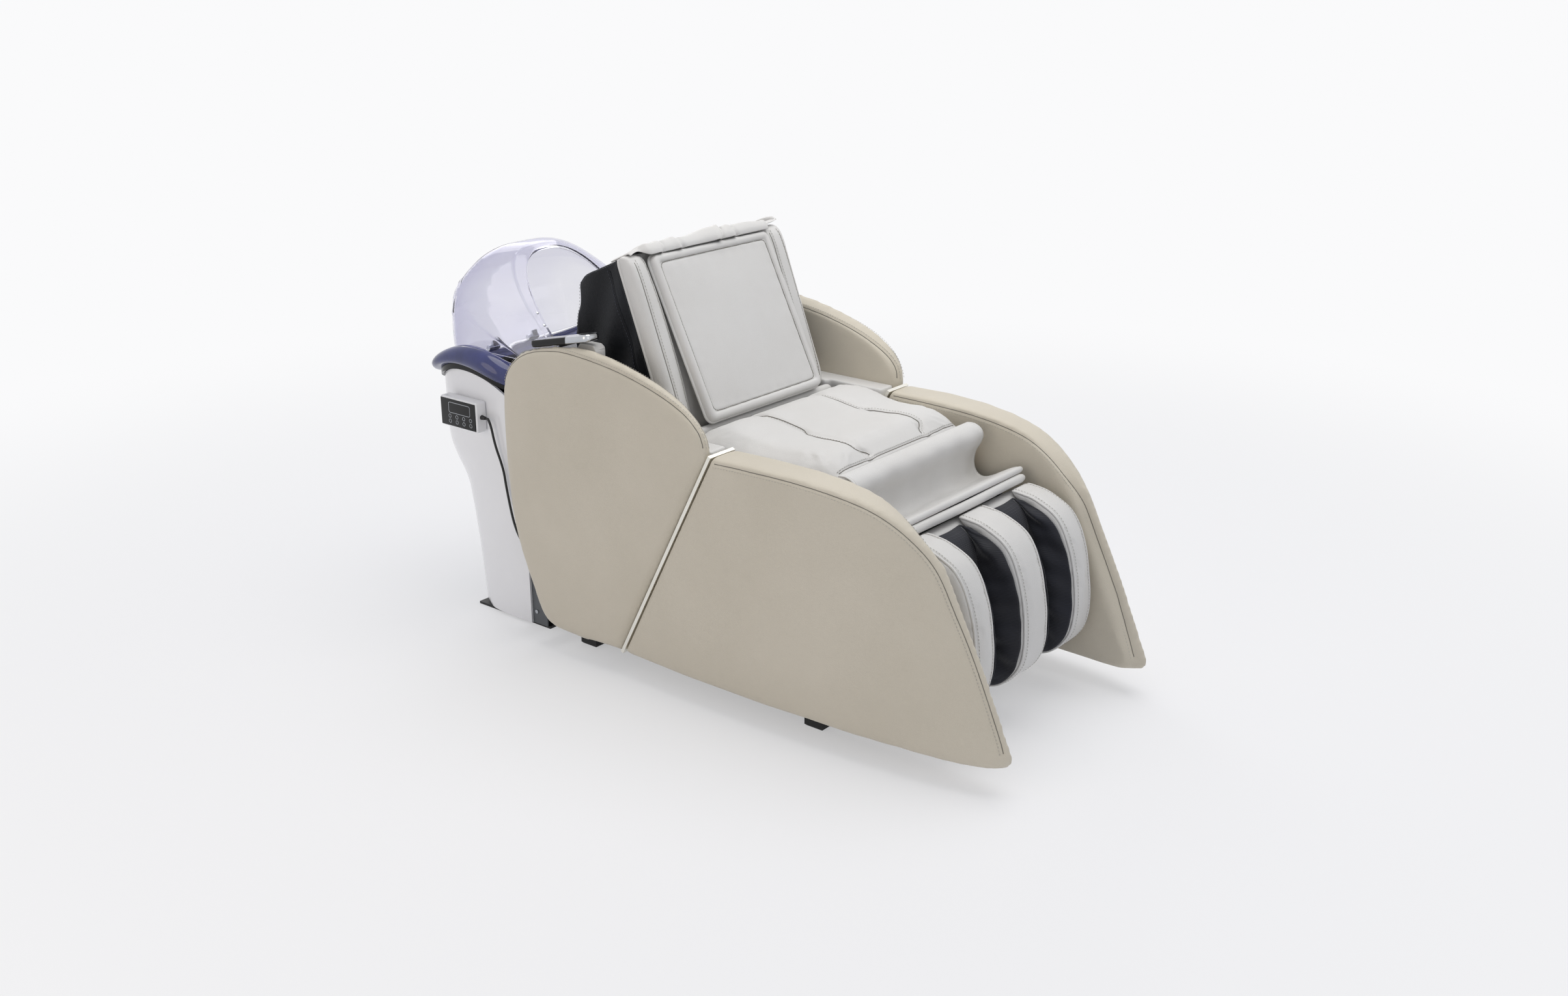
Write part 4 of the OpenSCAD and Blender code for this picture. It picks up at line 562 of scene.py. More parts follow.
def move_to(mesh, points):
    """Gives a mesh's points new places."""
    mesh.vertices.foreach_set("co", np.asarray(points, float).ravel())
    mesh.update()


def relax(mesh, rounds, keep=0.53):
    """Smooths a mesh without shrinking it: each round draws points together and lets most of it out again."""
    co = points_of(mesh)
    ends = np.zeros(len(mesh.edges) * 2, int)
    mesh.edges.foreach_get("vertices", ends)
    a, b = ends.reshape(-1, 2).T
    count = np.bincount(np.concatenate([a, b]), minlength=len(co))[:, None]
    for _ in range(rounds):
        for share in (0.5, -keep):
            total = np.column_stack([np.bincount(np.concatenate([a, b]),
                weights=np.concatenate([co[b, k], co[a, k]]), minlength=len(co)) for k in range(3)])
            co += share * (total / count - co)
    move_to(mesh, co)


def inflate(obj, cap, held):
    """Cloth under pressure for 20 frames, without gravity; points where held is true stay."""
    start = points_of(obj.data)
    group = obj.vertex_groups.new(name="held")
    group.add([int(i) for i in np.nonzero(held(start))[0]], 1.0, "REPLACE")
    cloth = obj.modifiers.new("cover", "CLOTH")
    leather = {"quality": 4, "mass": 0.3, "tension_stiffness": 12, "compression_stiffness": 12,
        "bending_stiffness": 0.6, "use_pressure": True, "uniform_pressure_force": 4,
        "vertex_group_mass": "held"}
    for key, value in leather.items():
        setattr(cloth.settings, key, value)
    cloth.settings.effector_weights.gravity = 0
    cloth.collision_settings.use_collision = False
    for number in range(1, 21):
        scene.frame_set(number)
    applied(obj)
    moved = np.nan_to_num(points_of(obj.data) - start)
    far = np.linalg.norm(moved, axis=1)[:, None] + 1e-9
    move_to(obj.data, start + moved / far * cap * np.tanh(far / cap))
    obj.vertex_groups.clear()
    scene.frame_set(1)


def padding(node, voxel, rounds, material, held=None, cap=0.007, crown=None, finer=1):
    """A soft form from a CAD solid: merged, remeshed, relaxed, then inflated if it has a held side, or
    crowned, and subdivided."""
    name = own_name(node)
    form = bmesh.new()
    form.from_mesh(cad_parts[node].data)
    bmesh.ops.remove_doubles(form, verts=form.verts, dist=2e-5)
    bmesh.ops.recalc_face_normals(form, faces=form.faces)
    mesh = bpy.data.meshes.new(name)
    form.to_mesh(mesh)
    form.free()
    obj = bpy.data.objects.new(name, mesh)
    scene.collection.objects.link(obj)
    modified(obj, "REMESH", mode="VOXEL", voxel_size=voxel, adaptivity=0)
    relax(obj.data, rounds)
    if held:
        inflate(obj, cap, held)
        relax(obj.data, 3)
    if crown:
        co, out = points_of(obj.data), normals_of(obj.data)
        move_to(obj.data, co + out * crown(co, out)[:, None])
    if finer:
        modified(obj, "SUBSURF", levels=finer)
    obj.data.materials.clear()
    obj.data.materials.append(material)
    obj.data.shade_smooth()
    print(name, "has", len(obj.data.polygons), "faces")
    return obj


# %% [markdown]
# ## Seams
# A seam draws the cover down into a narrow valley, with the folded edge of the leather in it and a row of
# stitches beside it. On pale and sand leather that edge is painted dark, as painted shade in the valley. The
# valley is pressed into the mesh along a line laid on the surface. The stitches are the same small thread
# loop again and again, so Geometry Nodes set them along the line.


# %% Seam valleys
def surface_of(obj):
    """A search tree over a piece's faces."""
    mesh = obj.data
    return BVHTree.FromPolygons([v.co for v in mesh.vertices], [p.vertices[:] for p in mesh.polygons])


def laid_on(surface, line):
    """The line's nearest points on a surface, and the surface's directions there."""
    hits = [surface.find_nearest(Vector(p)) for p in line]
    return np.array([h[0] for h in hits]), np.array([h[1] for h in hits])


def press_in(obj, line, width, depth):
    """Presses a valley of that width and depth, in metres, into a piece along a line on it."""
    near = KDTree(len(line))
    for i, p in enumerate(line):
        near.insert(p, i)
    near.balance()
    co, out = points_of(obj.data), normals_of(obj.data)
    reach = 2.5 * width
    inside = np.nonzero(((co > line.min(0) - reach) & (co < line.max(0) + reach)).all(1))[0]
    for i in inside:
        far = near.find(co[i])[2]
        if far < reach:
            co[i] -= out[i] * depth * math.exp(-((far / width) ** 2))
    move_to(obj.data, co)


seams = {}
seam_gap = 0.004  # between the points of a seam's line, in metres
thread_rise = 0.0003  # of the stitches over the leather
fold_share = 0.75  # of the valley's depth, where the leather's folded edge lies


def evened(values, closed, rounds=3):
    """Each point drawn to the mean of its neighbours, some times; the ends of an open line stay."""
    for _ in range(rounds):
        mean = 0.5 * values + 0.25 * (np.roll(values, 1, 0) + np.roll(values, -1, 0))
        if not closed:
            mean[0], mean[-1] = values[0], values[-1]
        values = mean
    return values


def sew(obj, line, body, width=0.0035, depth=0.0016, beside=0.0, closed=False, colour="pale", fold=True):
    """Presses a seam in, and keeps its line for the fold and, beside it, for the stitches."""
    surface = surface_of(obj)
    line = evened(laid_on(surface, even(line, seam_gap, closed))[0], closed, 6)
    line, out = laid_on(surface, line)
    line, out = evened(line, closed), evened(out, closed, 6)
    out /= np.linalg.norm(out, axis=1)[:, None]
    press_in(obj, line, width, depth)
    row = line + np.cross(out, directions(line, closed)) * beside + out * thread_rise
    folded = line - out * depth * fold_share if fold else None
    seams.setdefault((body, colour), []).append((folded, row, closed))


print("points of a seam's line are", 1000 * seam_gap, "mm apart")


# %% Small things along a line or on points
def new_tree(name, *sizes):
    """A Geometry Nodes tree that takes places, some sizes and a material, and what its input node gives."""
    tree = bpy.data.node_groups.new(name, "GeometryNodeTree")
    for key, kind in (("Places", "Geometry"), *((size, "Float") for size in sizes), ("Material", "Material")):
        tree.interface.new_socket(name=key, in_out="INPUT", socket_type="NodeSocket" + kind)
    tree.interface.new_socket(name="Result", in_out="OUTPUT", socket_type="NodeSocketGeometry")
    return tree, put(tree, "NodeGroupInput").outputs


def strewn(tree, given, points, piece, turn, **size):
    """Ends a tree: the same piece on every point, made real and painted."""
    copies = put(tree, "GeometryNodeInstanceOnPoints",
        {"Points": points, "Instance": piece, "Rotation": turn, **size}).outputs[0]
    real = put(tree, "GeometryNodeRealizeInstances", {"Geometry": copies}).outputs[0]
    painted = put(tree, "GeometryNodeSetMaterial", {"Geometry": real, "Material": given["Material"]})
    put(tree, "NodeGroupOutput", {0: painted.outputs[0]})
    return tree


def stitch_tree():
    """A thread loop at each step of a line, turned along it."""
    tree, given = new_tree("stitches", "Pitch", "Length", "Thickness")
    line = put(tree, "GeometryNodeMeshToCurve", {"Mesh": given["Places"]}).outputs[0]
    steps = put(tree, "GeometryNodeResampleCurve", {"Curve": line, "Length": given["Pitch"]}, mode="LENGTH")
    ball = put(tree, "GeometryNodeMeshUVSphere", {"Segments": 6, "Rings": 4, "Radius": 0.5}).outputs[0]
    size = put(tree, "ShaderNodeCombineXYZ", {0: given["Thickness"], 1: given["Thickness"], 2: given["Length"]})
    way = put(tree, "GeometryNodeInputTangent").outputs[0]
    turn = put(tree, "FunctionNodeAlignRotationToVector", {"Vector": way}, axis="Z").outputs[0]
    return strewn(tree, given, steps.outputs[0], ball, turn, Scale=size.outputs[0])


stitches_along = stitch_tree()


def grown(name, tree, points, edges, settings):
    """Runs a Geometry Nodes tree on a mesh of points and edges, and keeps its result as a plain mesh."""
    mesh = bpy.data.meshes.new(name)
    mesh.from_pydata([tuple(p) for p in points], edges, [])
    obj = bpy.data.objects.new(name, mesh)
    scene.collection.objects.link(obj)
    mod = obj.modifiers.new("grow", "NODES")
    mod.node_group = tree
    sockets = {s.name: s.identifier for s in tree.interface.items_tree if s.in_out == "INPUT"}
    for key, value in settings.items():
        mod[sockets[key]] = value
    applied(obj)
    obj.data.shade_smooth()
    return obj


print("stitch tree:", len(stitches_along.nodes), "nodes")

# %% [markdown]
# ## The side panels
# Four upholstered shells: foam on plywood, covered in sand-coloured leather that is pulled tight. They bulge
# only a few millimetres, so no cloth is needed: their faces get a slight crown instead. Seams follow their
# upper edges, outside and inside.

# %% Panel outlines
half_w, panel_z, leg_l, leg_h = 380.0, 59.0, 720.0, 533.0
leg_shares = [[0.02, 1.0], [0.168, 1], [0.308, 0.995], [0.434, 0.978], [0.546, 0.946], [0.63, 0.895],
    [0.707, 0.817], [0.763, 0.73], [0.819, 0.588], [0.896, 0.382], [0.973, 0.144], [0.99, 0.08]]
leg_edge = curve([[0, -s[0] * leg_l, panel_z + s[1] * leg_h] for s in leg_shares], 8)
arm_seam = curve([[380, 626, 644], [380, 612, 677], [380, 576, 714], [380, 531, 737], [380, 477, 748],
    [380, 425, 752], [380, 344, 748], [380, 246, 735], [380, 151, 712], [380, 77, 686], [380, 32, 663],
    [380, 9, 636], [380, 6, 608]], 8)


def leg_outer(y, z):
    """Outer face of the leg panel: straight at the seam, bent inwards at its slanted front edge."""
    far = max(0, y + leg_l * (1 - 0.213 * (z - panel_z) / (0.666 * leg_h)))
    return half_w - 80 * (0.3 * max(0, 1 - far / 500) + 0.7 * math.exp(-far / 110))


def panel_crown(co, out):
    """A few millimetres of crown on the flat of a face, from its own foam."""
    low, high = co.min(0), co.max(0)
    share = np.clip((co - low) / (high - low), 0, 1)
    round_off = (np.sin(math.pi * share[:, 1]) * np.sin(math.pi * share[:, 2])) ** 0.7
    return 0.004 * round_off * np.abs(out[:, 0]) ** 3


print("leg panel edge:", len(leg_edge), "points")

# %% Arm and leg panels
stitches_off = 0.0075  # from their seam, in metres
for side, sign in (("left", 1), ("right", -1)):
    arm = padding(f"arm_panel_{side}", 0.0085, 10, side_leather, crown=panel_crown)
    for x, way in ((380, -1), (338, 1)):
        line = arm_seam.copy()
        line[:, 0] = x
        sew(arm, in_bed(line, sign), "base", beside=way * sign * stitches_off, colour="sand")
    place(arm, "base", "side_leather", f"arm_panel_{side}", fill=0.9)
    leg = padding(f"leg_panel_{side}", 0.0085, 10, side_leather, crown=panel_crown)
    outer, inner = aside(leg_edge, 9), aside(leg_edge, 11)
    outer[:, 0] = [leg_outer(y, z) for _, y, z in outer]
    inner[:, 0] = [half_w - 94 + 24 * y / leg_l for y in inner[:, 1]]
    for line, way in ((outer, 1), (inner, -1)):
        sew(leg, in_bed(line, sign), "base", beside=way * sign * stitches_off, colour="sand")
    place(leg, "base", "side_leather", f"leg_panel_{side}", fill=0.9)

# %% [markdown]
# ## The seat
# A broad cushion with two long sewn channels and a seam across its front edge, under which the cover runs
# on as a loose flap. It is inflated with its underside held, so that its sides round out.

# %% Seat cushion and ledges
seat = padding("seat_cushion", 0.006, 6, pale_leather, held=lambda co: co[:, 2] < 0.492)
channel = curve([[103, 140, 620], [110, 100, 620], [106, 50, 620], [107, -15, 620], [115, -85, 620],
    [125, -140, 620], [116, -200, 620], [108, -240, 600]], 8)
for sign in (1, -1):
    sew(seat, in_bed(channel, sign), "base", width=0.007, depth=0.0035, beside=0.006 * sign)
sew(seat, in_bed([[x, -249, 590] for x in range(-232, 233, 8)]), "base", width=0.0045, depth=0.0022,
    beside=0.005)
place(seat, "base", "pale_leather", "seat_cushion", fill=0.7)
rear_roll = tube("seat_rear_roll", in_bed([[x, 157, 578] for x in np.linspace(-264, 264, 60)]), 0.011,
    pale_leather, sides=16, taper=3)
place(rear_roll, "base", "pale_leather", fill=0.8)
ledges = padding("arm_ledges", 0.006, 5, pale_leather)
place(ledges, "base", "pale_leather", "arm_ledges", fill=0.8)

# %% [markdown]
# ## The calf flap
# The cover's loose end: it hangs from the seat's front seam, folds back on itself, and is sewn with a
# piped roll to the leg rest. It is one sheet of leather, drawn along its measured section, with long soft
# waves in its slack.

# %% Flap
flap_shares = [[0, 0.69], [0.12, 0.7], [0.23, 0.64], [0.28, 0.53], [0.26, 0.38], [0.18, 0.17],
    [0.165, -0.06], [0.22, -0.24], [0.34, -0.31], [0.5, -0.24], [0.7, -0.09], [0.86, 0.02], [0.96, 0.03]]
flap_y, flap_deep, flap_low, flap_high = -250, 155, 485, 121
flap_line = curve([[0, flap_y - s[0] * flap_deep, flap_low + s[1] * flap_high] for s in flap_shares], 6)
rows = []
for k, p in enumerate(flap_line):
    v = k / (len(flap_line) - 1)
    slack = math.sin(math.pi * v) ** 1.3
    rows.append([[x, p[1] - slack * (2.6 * math.sin(x / 31 + 5 * v) + 1.8 * math.sin(x / 13.7 - 3 * v + 1)),
        p[2] + slack * 1.6 * math.sin(x / 23 + 2 * v + 0.7)] for x in np.linspace(-247, 247, 130)])
flap = thickened(loft("calf_flap", in_bed(rows), pale_leather), 0.0028)
place(flap, None, "pale_leather", "calf_flap")
flap_end = in_bed([[x, *flap_line[-1][1:]] for x in np.linspace(-248, 248, 80)])
trims = [tube("calf_flap_roll", flap_end, 0.0075, pale_leather, sides=16, taper=3)]
trims += [tube(f"calf_flap_hem_{tag}", even(in_bed([row[end] for row in rows[2:]]), 0.004), 0.0022,
    pale_leather, sides=8, taper=2) for tag, end in (("near", 2), ("far", -3))]
for trim in trims:
    place(trim, None, "pale_leather")
for piece in (flap, *trims):
    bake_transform(piece)

# %% [markdown]
# ## The backrest
# A cushion with two wings and a recess for the loose pad. The pad is a piped square with a stitched border,
# filled less tightly than the rest: its foam ends in a firm raised border, and its middle lies a little
# lower. The cushion is inflated with its back held, and the pad is lofted from its measured section.


# %% Backrest cushion
back_lean, pad_lean = 20.7, 5.6  # degrees: of the backrest from upright, and of the pad from the backrest
recline_pivot = (0, 200, 470)


def tilted(points, degrees, at):
    """Points turned about X, their tops rearward, and moved so that their origin is at a point."""
    p = np.asarray(points, float)
    c, s = math.cos(math.radians(degrees)), math.sin(math.radians(degrees))
    return np.stack([at[0] + p[..., 0], at[1] + p[..., 1] * c + p[..., 2] * s,
        at[2] - p[..., 1] * s + p[..., 2] * c], axis=-1)


def on_back(points):
    """Points given along the backrest (mm from the recline pivot), in the bed's frame."""
    return in_bed(tilted(points, back_lean, recline_pivot))


def on_pad(points):
    """Points given on the loose pad (mm from the middle of its top edge), in the bed's frame."""
    return on_back(tilted(points, pad_lean, (0, -60.7, 492)))


def along_back(co):
    """Depth behind the front plane of the backrest, in metres, for points in the bed's frame."""
    lean, (_, y, z) = math.radians(back_lean), in_bed(recline_pivot)
    return (co[:, 1] - y) * math.cos(lean) - (co[:, 2] - z) * math.sin(lean)


cushion = padding("backrest_cushion", 0.006, 5, pale_leather, held=lambda co: along_back(co) > -0.038)
for sign in (1, -1):
    for x, way in ((252, 1), (216, -1)):
        line = on_back([[sign * x, -72, z] for z in range(100, 500, 8)])
        sew(cushion, line, "backrest", beside=0.005 * way * sign)
place(cushion, "backrest", "pale_leather", "backrest_cushion", fill=0.75)
edges = (("piping", -29, 0.0048, pale_leather, "pale_leather"),
    ("dark_edge", -23, 0.0040, navy_leather, "navy_leather"))
for tag, sign in (("near", -1), ("far", 1)):
    for kind, deep, radius, cover, slot in edges:
        line = on_back([[sign * 263, deep, z] for z in range(88, 503, 6)])
        strip = tube(f"backrest_{kind}_{tag}", line, radius, cover, sides=10, taper=3)
        place(strip, "backrest", slot)
print("backrest cushion:", len(cushion.data.polygons), "faces")


# %% Loose back pad
pad_half_w, pad_half_h, pad_points = 204, 197.5, 320


def pad_loop(inset, depth):
    """The pad's square outline with rounded corners, set in by some millimetres, at a depth."""
    across, high, r = pad_half_w - inset, pad_half_h - inset, max(3.0, 19 - 0.75 * inset)
    arc = [[across - r + r * math.cos(a), high - r + r * math.sin(a)] for a in np.linspace(0, math.pi / 2, 9)]
    part = spaced(np.array([[across, 0], *arc, [0, high]]), pad_points // 4 + 1)
    turns = ((1, 1, 1), (-1, 1, -1), (-1, -1, 1), (1, -1, -1))
    whole = np.vstack([(part * [sx, sz])[::way][:-1] for sx, sz, way in turns])
    return np.column_stack([whole[:, 0], np.full(pad_points, depth), whole[:, 1] - pad_half_h])


# Inset and depth of each loop: the sunken middle, the seam's groove, the raised border, and the back.
pad_profile = [[23 + k, -10.6 - 1.6 * math.sin(min(1, k / 90) * math.pi / 2)] for k in
    (160, 150, 140, 128, 116, 104, 92, 80, 69, 58, 48, 39, 31, 24, 18, 13, 9, 6, 4, 2, 1, 0)]
pad_profile += [[22, -10.2], [21.2, -9.8], [20.4, -10.2], [19.4, -11.2], [18, -12.7], [16, -14],
    [13.5, -14.8], [10.5, -15], [7.5, -14.3], [5, -12.8], [3, -10.6], [1.4, -7.6], [0.4, -4], [0, 0],
    [0.6, 4], [2.5, 8], [6, 11], [12, 12.8], [24, 13.6], [50, 14], [90, 14], [130, 14], [170, 14]]
rows = []
for inset, depth in pad_profile:
    loop = pad_loop(inset, depth)
    if depth < -8:
        u, w = loop[:, 0], loop[:, 2]
        puff = math.exp(-(((inset - 32) / 11) ** 2))
        loop[:, 1] += 0.7 * puff * np.sin((u + w) / 11) * np.sin((u - w) / 13 + 1) + 0.8 * (inset > 25) * (
            np.sin(u / 61 + 0.6) * np.sin(w / 54 + 1.1))
    rows.append(loop)
pad = loft("back_pad", on_pad(rows), pale_leather, ring=True, poles=True)
sew(pad, on_pad(pad_loop(21.2, -10)), "backrest", width=0.003, depth=0.0012, closed=True)
place(pad, "backrest", "pale_leather", "back_pad", fill=0.6)
pad_piping = tube("back_pad_piping", even(on_pad(pad_loop(0.5, 3)), 0.005, True), 0.0036, pale_leather,
    closed=True, sides=12)
place(pad_piping, "backrest", "pale_leather")
print("pad piping:", len(pad_piping.data.polygons), "faces")

# %% [markdown]
# ## The top flap and the gusset
# The backrest's cover is drawn over its top and gathered, which leaves soft pleats and one corner that
# rolls up. Behind it, a gusset of dark leather closes the space above the frame; it is fixed to the base
# below and to the backrest above.

# %% Top flap
darts = ((-161, 8, 16), (-96, 9, -24), (37, 12, 30), (91, 10, -14))  # middle, depth and lean, in mm
over_top = curve([[-70.5, 494, 0], [-71.5, 501, 0], [-68, 508.5, 0], [-58, 511.5, 0], [-40, 512.5, 0],
    [-20, 511.5, 0], [4, 508.5, 0]], 6)
over_wing = curve([[-58, 507.5, 0], [-56, 508, 0], [-53, 508.5, 0], [-48, 508.8, 0], [-36, 509, 0],
    [-18, 508.8, 0], [4, 508.5, 0]], 6)
rows = []
for k in range(len(over_top)):
    s = k / (len(over_top) - 1)
    up = min(1, s / 0.3)
    row = []
    for x in np.linspace(-252, 262, 230):
        wing = min(1, max(0, (abs(x) - 203) / 26))
        wing = wing * wing * (3 - 2 * wing)
        d, z, _ = (1 - wing) * over_top[k] + wing * over_wing[k]
        puff = (11 + 3.6 * math.sin(x / 47 + 1) + 2.2 * math.sin(x / 21 + 3 * s)) * math.sin(
            math.pi * min(1, 0.06 + 0.94 * s) ** 0.7)
        dart = 0
        for at, deep, lean in darts:
            off = x - at - lean * s
            dart += deep * (math.exp(-((off / 5.5) ** 2)) - 0.45 * math.exp(-(((off + 13) / 9) ** 2)))
        dart *= (1 - s) ** 0.7
        curl = 9 * max(0, (x - 228) / 34) ** 2 * (0.5 + 0.5 * s) - 6 * max(0, (-x - 226) / 26) ** 2
        lift = (puff - dart) * (1 - 0.75 * wing)
        row.append([x, d - lift * (1 - up), z + lift * up + curl])
    rows.append(row)
top_flap = thickened(loft("top_flap", on_back(rows), pale_leather), 0.0026)
place(top_flap, "backrest", "pale_leather", "top_flap")
roll_line = on_back([[255 + 4 * math.sin(3 * t), -57 + 60 * t, 516 + 4 * math.sin(2.4 * t)]
    for t in np.linspace(0, 1, 26)])
roll = tube("top_flap_corner_roll", roll_line, 0.0062, pale_leather, sides=14, taper=3)
place(roll, "backrest", "pale_leather")


def sheet_area(obj):
    """Area of one side of a thin sheet, in square metres."""
    return round(sum(p.area for p in obj.data.polygons) / 2, 4)


print("top flap area:", sheet_area(top_flap), "m2")

# %% Gusset
gusset_shares = [[-0.02, 0.08], [0.522, 0.9522], [0.897, 0.848], [0.945, 0.806], [0.955, 0.71],
    [0.985, 0.6], [1, 0.27], [1, 0.07]]
gusset_deep, gusset_high = 298, 505
gusset_side = np.array(recline_pivot) + np.array([[0, s[0] * gusset_deep, s[1] * gusset_high]
    for s in gusset_shares])
block = [gusset_side + np.array([x, 0, 0]) for x in (-264, 264)]
gusset = shape("back_gusset", in_bed(np.vstack(block)),
    [tuple(range(8)), tuple(range(15, 7, -1))] + [(i, (i + 1) % 8, 8 + (i + 1) % 8, 8 + i) for i in range(8)])
modified(gusset, "REMESH", mode="VOXEL", voxel_size=0.008)
relax(gusset.data, 8, keep=0.47)
co, out = points_of(gusset.data), normals_of(gusset.data)
folds = (0.0030 * np.sin(co[:, 2] * 46 + 9 * co[:, 1] + 1.3 * np.sin(co[:, 0] * 21)) * np.abs(out[:, 1])
    + 0.0034 * np.sin(co[:, 1] * 62 + co[:, 2] * 23 + 0.8) * np.abs(out[:, 0])
    + 0.0022 * np.sin(co[:, 0] * 44 + co[:, 2] * 17) * np.abs(out[:, 1]))
upwards_share = np.clip((co[:, 2] - 0.50) / 0.45, 0, 1)
sink = 0.006 * np.sin(math.pi * upwards_share) * np.abs(out[:, 0]) + 0.001
move_to(gusset.data, co + out * (folds - sink)[:, None])
# The block is open towards the backrest and below, where the leather ends.
form = bmesh.new()
form.from_mesh(gusset.data)
start, end = (Vector(p) for p in in_bed(gusset_side[:2]))
front = (end - start).cross(Vector((1, 0, 0))).normalized()
open_side = [f for f in form.faces if abs((f.calc_center_median() - start).dot(front)) < 0.014
    and abs(f.normal.dot(front)) > 0.7]
under = [f for f in form.faces if f.calc_center_median().z < 0.512 and f.normal.z < -0.6]
bmesh.ops.delete(form, geom=list(set(open_side + under)), context="FACES")
form.to_mesh(gusset.data)
form.free()
modified(gusset, "SOLIDIFY", thickness=0.003, offset=-1)
modified(gusset, "SUBSURF", levels=1)
gusset.data.materials.clear()
gusset.data.materials.append(navy_leather)
gusset.data.shade_smooth()

# %% Gusset seams
for sign in (1, -1):
    x = sign * 262
    rear_edge = curve([[x, 380, 945], [x, 468, 893], [x, 481, 872], [x, 484, 825], [x, 493, 770],
        [x, 497, 605], [x, 497, 515]], 6)
    near_back = [[x, 366 - 0.36 * (940 - z) + 22, z] for z in range(560, 930, 10)]
    for line in (rear_edge, near_back):
        sew(gusset, in_bed(line), "base", beside=0.006, colour="navy")
place(gusset, None, "navy_leather", "back_gusset")
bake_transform(gusset)

# %% [markdown]
# ## The leg rest
# Three padded ribs stand round two wells for the calves. Air bags behind the wells' fabric squeeze the legs,
# so the fabric bulges into the well and creases along its length. The ribs are piped along both edges.

# %% Ribs
calf_front = [[0.1, 1], [0.35, 0.99], [0.555, 0.95], [0.715, 0.895], [0.845, 0.79], [0.94, 0.64],
    [0.99, 0.47], [1, 0.325], [0.955, 0.195], [0.87, 0.115], [0.75, 0.05], [0.62, 0.012], [0.45, 0]]


calf_y, calf_deep, calf_low, calf_high = -392, 208, 84, 379


def on_calf(shares, x=0.0, out=0.0):
    """Shares of the leg rest's depth and height as points, moved outwards by some millimetres."""
    return aside(np.array([[x, calf_y - s[0] * calf_deep, calf_low + s[1] * calf_high] for s in shares]), out)


rib_places = {"left": (166, 240), "middle": (-49, 49), "right": (-240, -166)}
for name, (x0, x1) in rib_places.items():
    rib = padding(f"calf_rib_{name}", 0.005, 5, pale_leather, held=lambda co: co[:, 1] > -0.600, cap=0.005)
    for x, way in ((x0 + 7, 1), (x1 - 7, -1)):
        sew(rib, in_bed(curve(on_calf(calf_front, x, 4), 8)), "leg_rest", width=0.004, depth=0.0018,
            beside=0.006 * way, fold=False)
    place(rib, "leg_rest", "pale_leather", f"calf_rib_{name}", fill=0.8)
    rib_surface = surface_of(rib)
    for tag, x in (("a", x0 + 2.5), ("b", x1 - 2.5)):
        laid, out = laid_on(rib_surface, even(in_bed(curve(on_calf(calf_front, x, -1), 8)), 0.005))
        piping = tube(f"calf_rib_{name}_piping_{tag}", evened(laid + 0.0008 * out, False, 8), 0.0032,
            pale_leather, sides=10, taper=2)
        place(piping, "leg_rest", "pale_leather")
welt_line = in_bed([[x, -409 - 1.5 * math.cos(x / 60), 472] for x in np.linspace(-243, 243, 60)])
welt = tube("calf_top_welt", welt_line, 0.0105, pale_leather, sides=16, taper=3)
place(welt, "leg_rest", "pale_leather", fill=0.8)
calf_body = padding("calf_body", 0.006, 4, pale_leather)
place(calf_body, "leg_rest", "pale_leather", "calf_body", fill=0.8)

# %% Wells
well_front = [[0.3, 0.955], [0.54, 0.915], [0.7, 0.86], [0.82, 0.76], [0.91, 0.62], [0.955, 0.46],
    [0.965, 0.33], [0.92, 0.205], [0.84, 0.13], [0.73, 0.07], [0.6, 0.04], [0.45, 0.035]]
well_floor = [[0.16, 0.955], [0.32, 0.9], [0.42, 0.75], [0.44, 0.5], [0.44, 0.25], [0.4, 0.07]]


def bulge(u, v, long, wide, start, bend, fine, slant):
    """How far an air bag pushes the fabric into its well, in millimetres, with creases along the well."""
    crease = 1 + 0.22 * math.sin(long * v + wide * u + start + 2 * math.sin(bend * v)) + 0.12 * math.sin(
        fine * v + slant * u)
    return max(0.5, 23 * math.sin(math.pi * v) ** 0.5 * math.sin(math.pi * (0.08 + 0.84 * u)) ** 0.8 * crease)


well_rows, wall_steps, floor_steps, well_x, well_w = 90, 25, 12, 50.5, 115
front_line = spaced(curve(on_calf(well_front), 6), well_rows)
floor_line = spaced(curve(on_calf(well_floor), 6), well_rows)
for name, sign in (("left", 1), ("right", -1)):
    rows = []
    for k, (a, b) in enumerate(zip(front_line, floor_line)):
        v = k / (well_rows - 1)
        wall = [(j / wall_steps, a + (b - a) * j / wall_steps) for j in range(wall_steps + 1)]
        row = [[well_x + bulge(u, v, 23, 5, 0, 7, 57, -4), p[1], p[2]] for u, p in wall]
        for j in range(1, floor_steps):
            u = j / floor_steps
            lift = 4 * math.sin(math.pi * u) * (1 + 0.4 * math.sin(31 * v + 3 * u))
            row.append([well_x + well_w * u, b[1] - lift, b[2]])
        row += [[well_x + well_w - bulge(u, v, 19, 6, 1.7, 6, 51, 3), p[1], p[2]] for u, p in reversed(wall)]
        rows.append(row)
    well = loft(f"calf_lining_{name}", in_bed(rows, sign), navy_fabric)
    relax(well.data, 2)
    thickened(well, 0.0016)
    place(well, "leg_rest", "navy_fabric", f"calf_lining_{name}", fill=0.5)
print("wells have", len(well.data.polygons), "faces each")

# %% [markdown]
# ## The basin
# The rinse basin is one vacuum-formed acrylic shell on a white pedestal, with a black band between them. Its
# outer roll is tinted navy, soft ridges run round inside it, and the bowl below is black. All three follow
# the source's rules for their section at each angle, with finer steps, so that reflections run smoothly.

# %% Rules of the pedestal and the rim
crest_y, housing_z, band_h, rim_h = 855.0, 622.0, 15.0, 50.0
rim_half, rim_mid, rim_d = 325.0, 835.0, 185.0
pedestal_half, pedestal_y, pedestal_d = 300.0, 655.0, 351.0


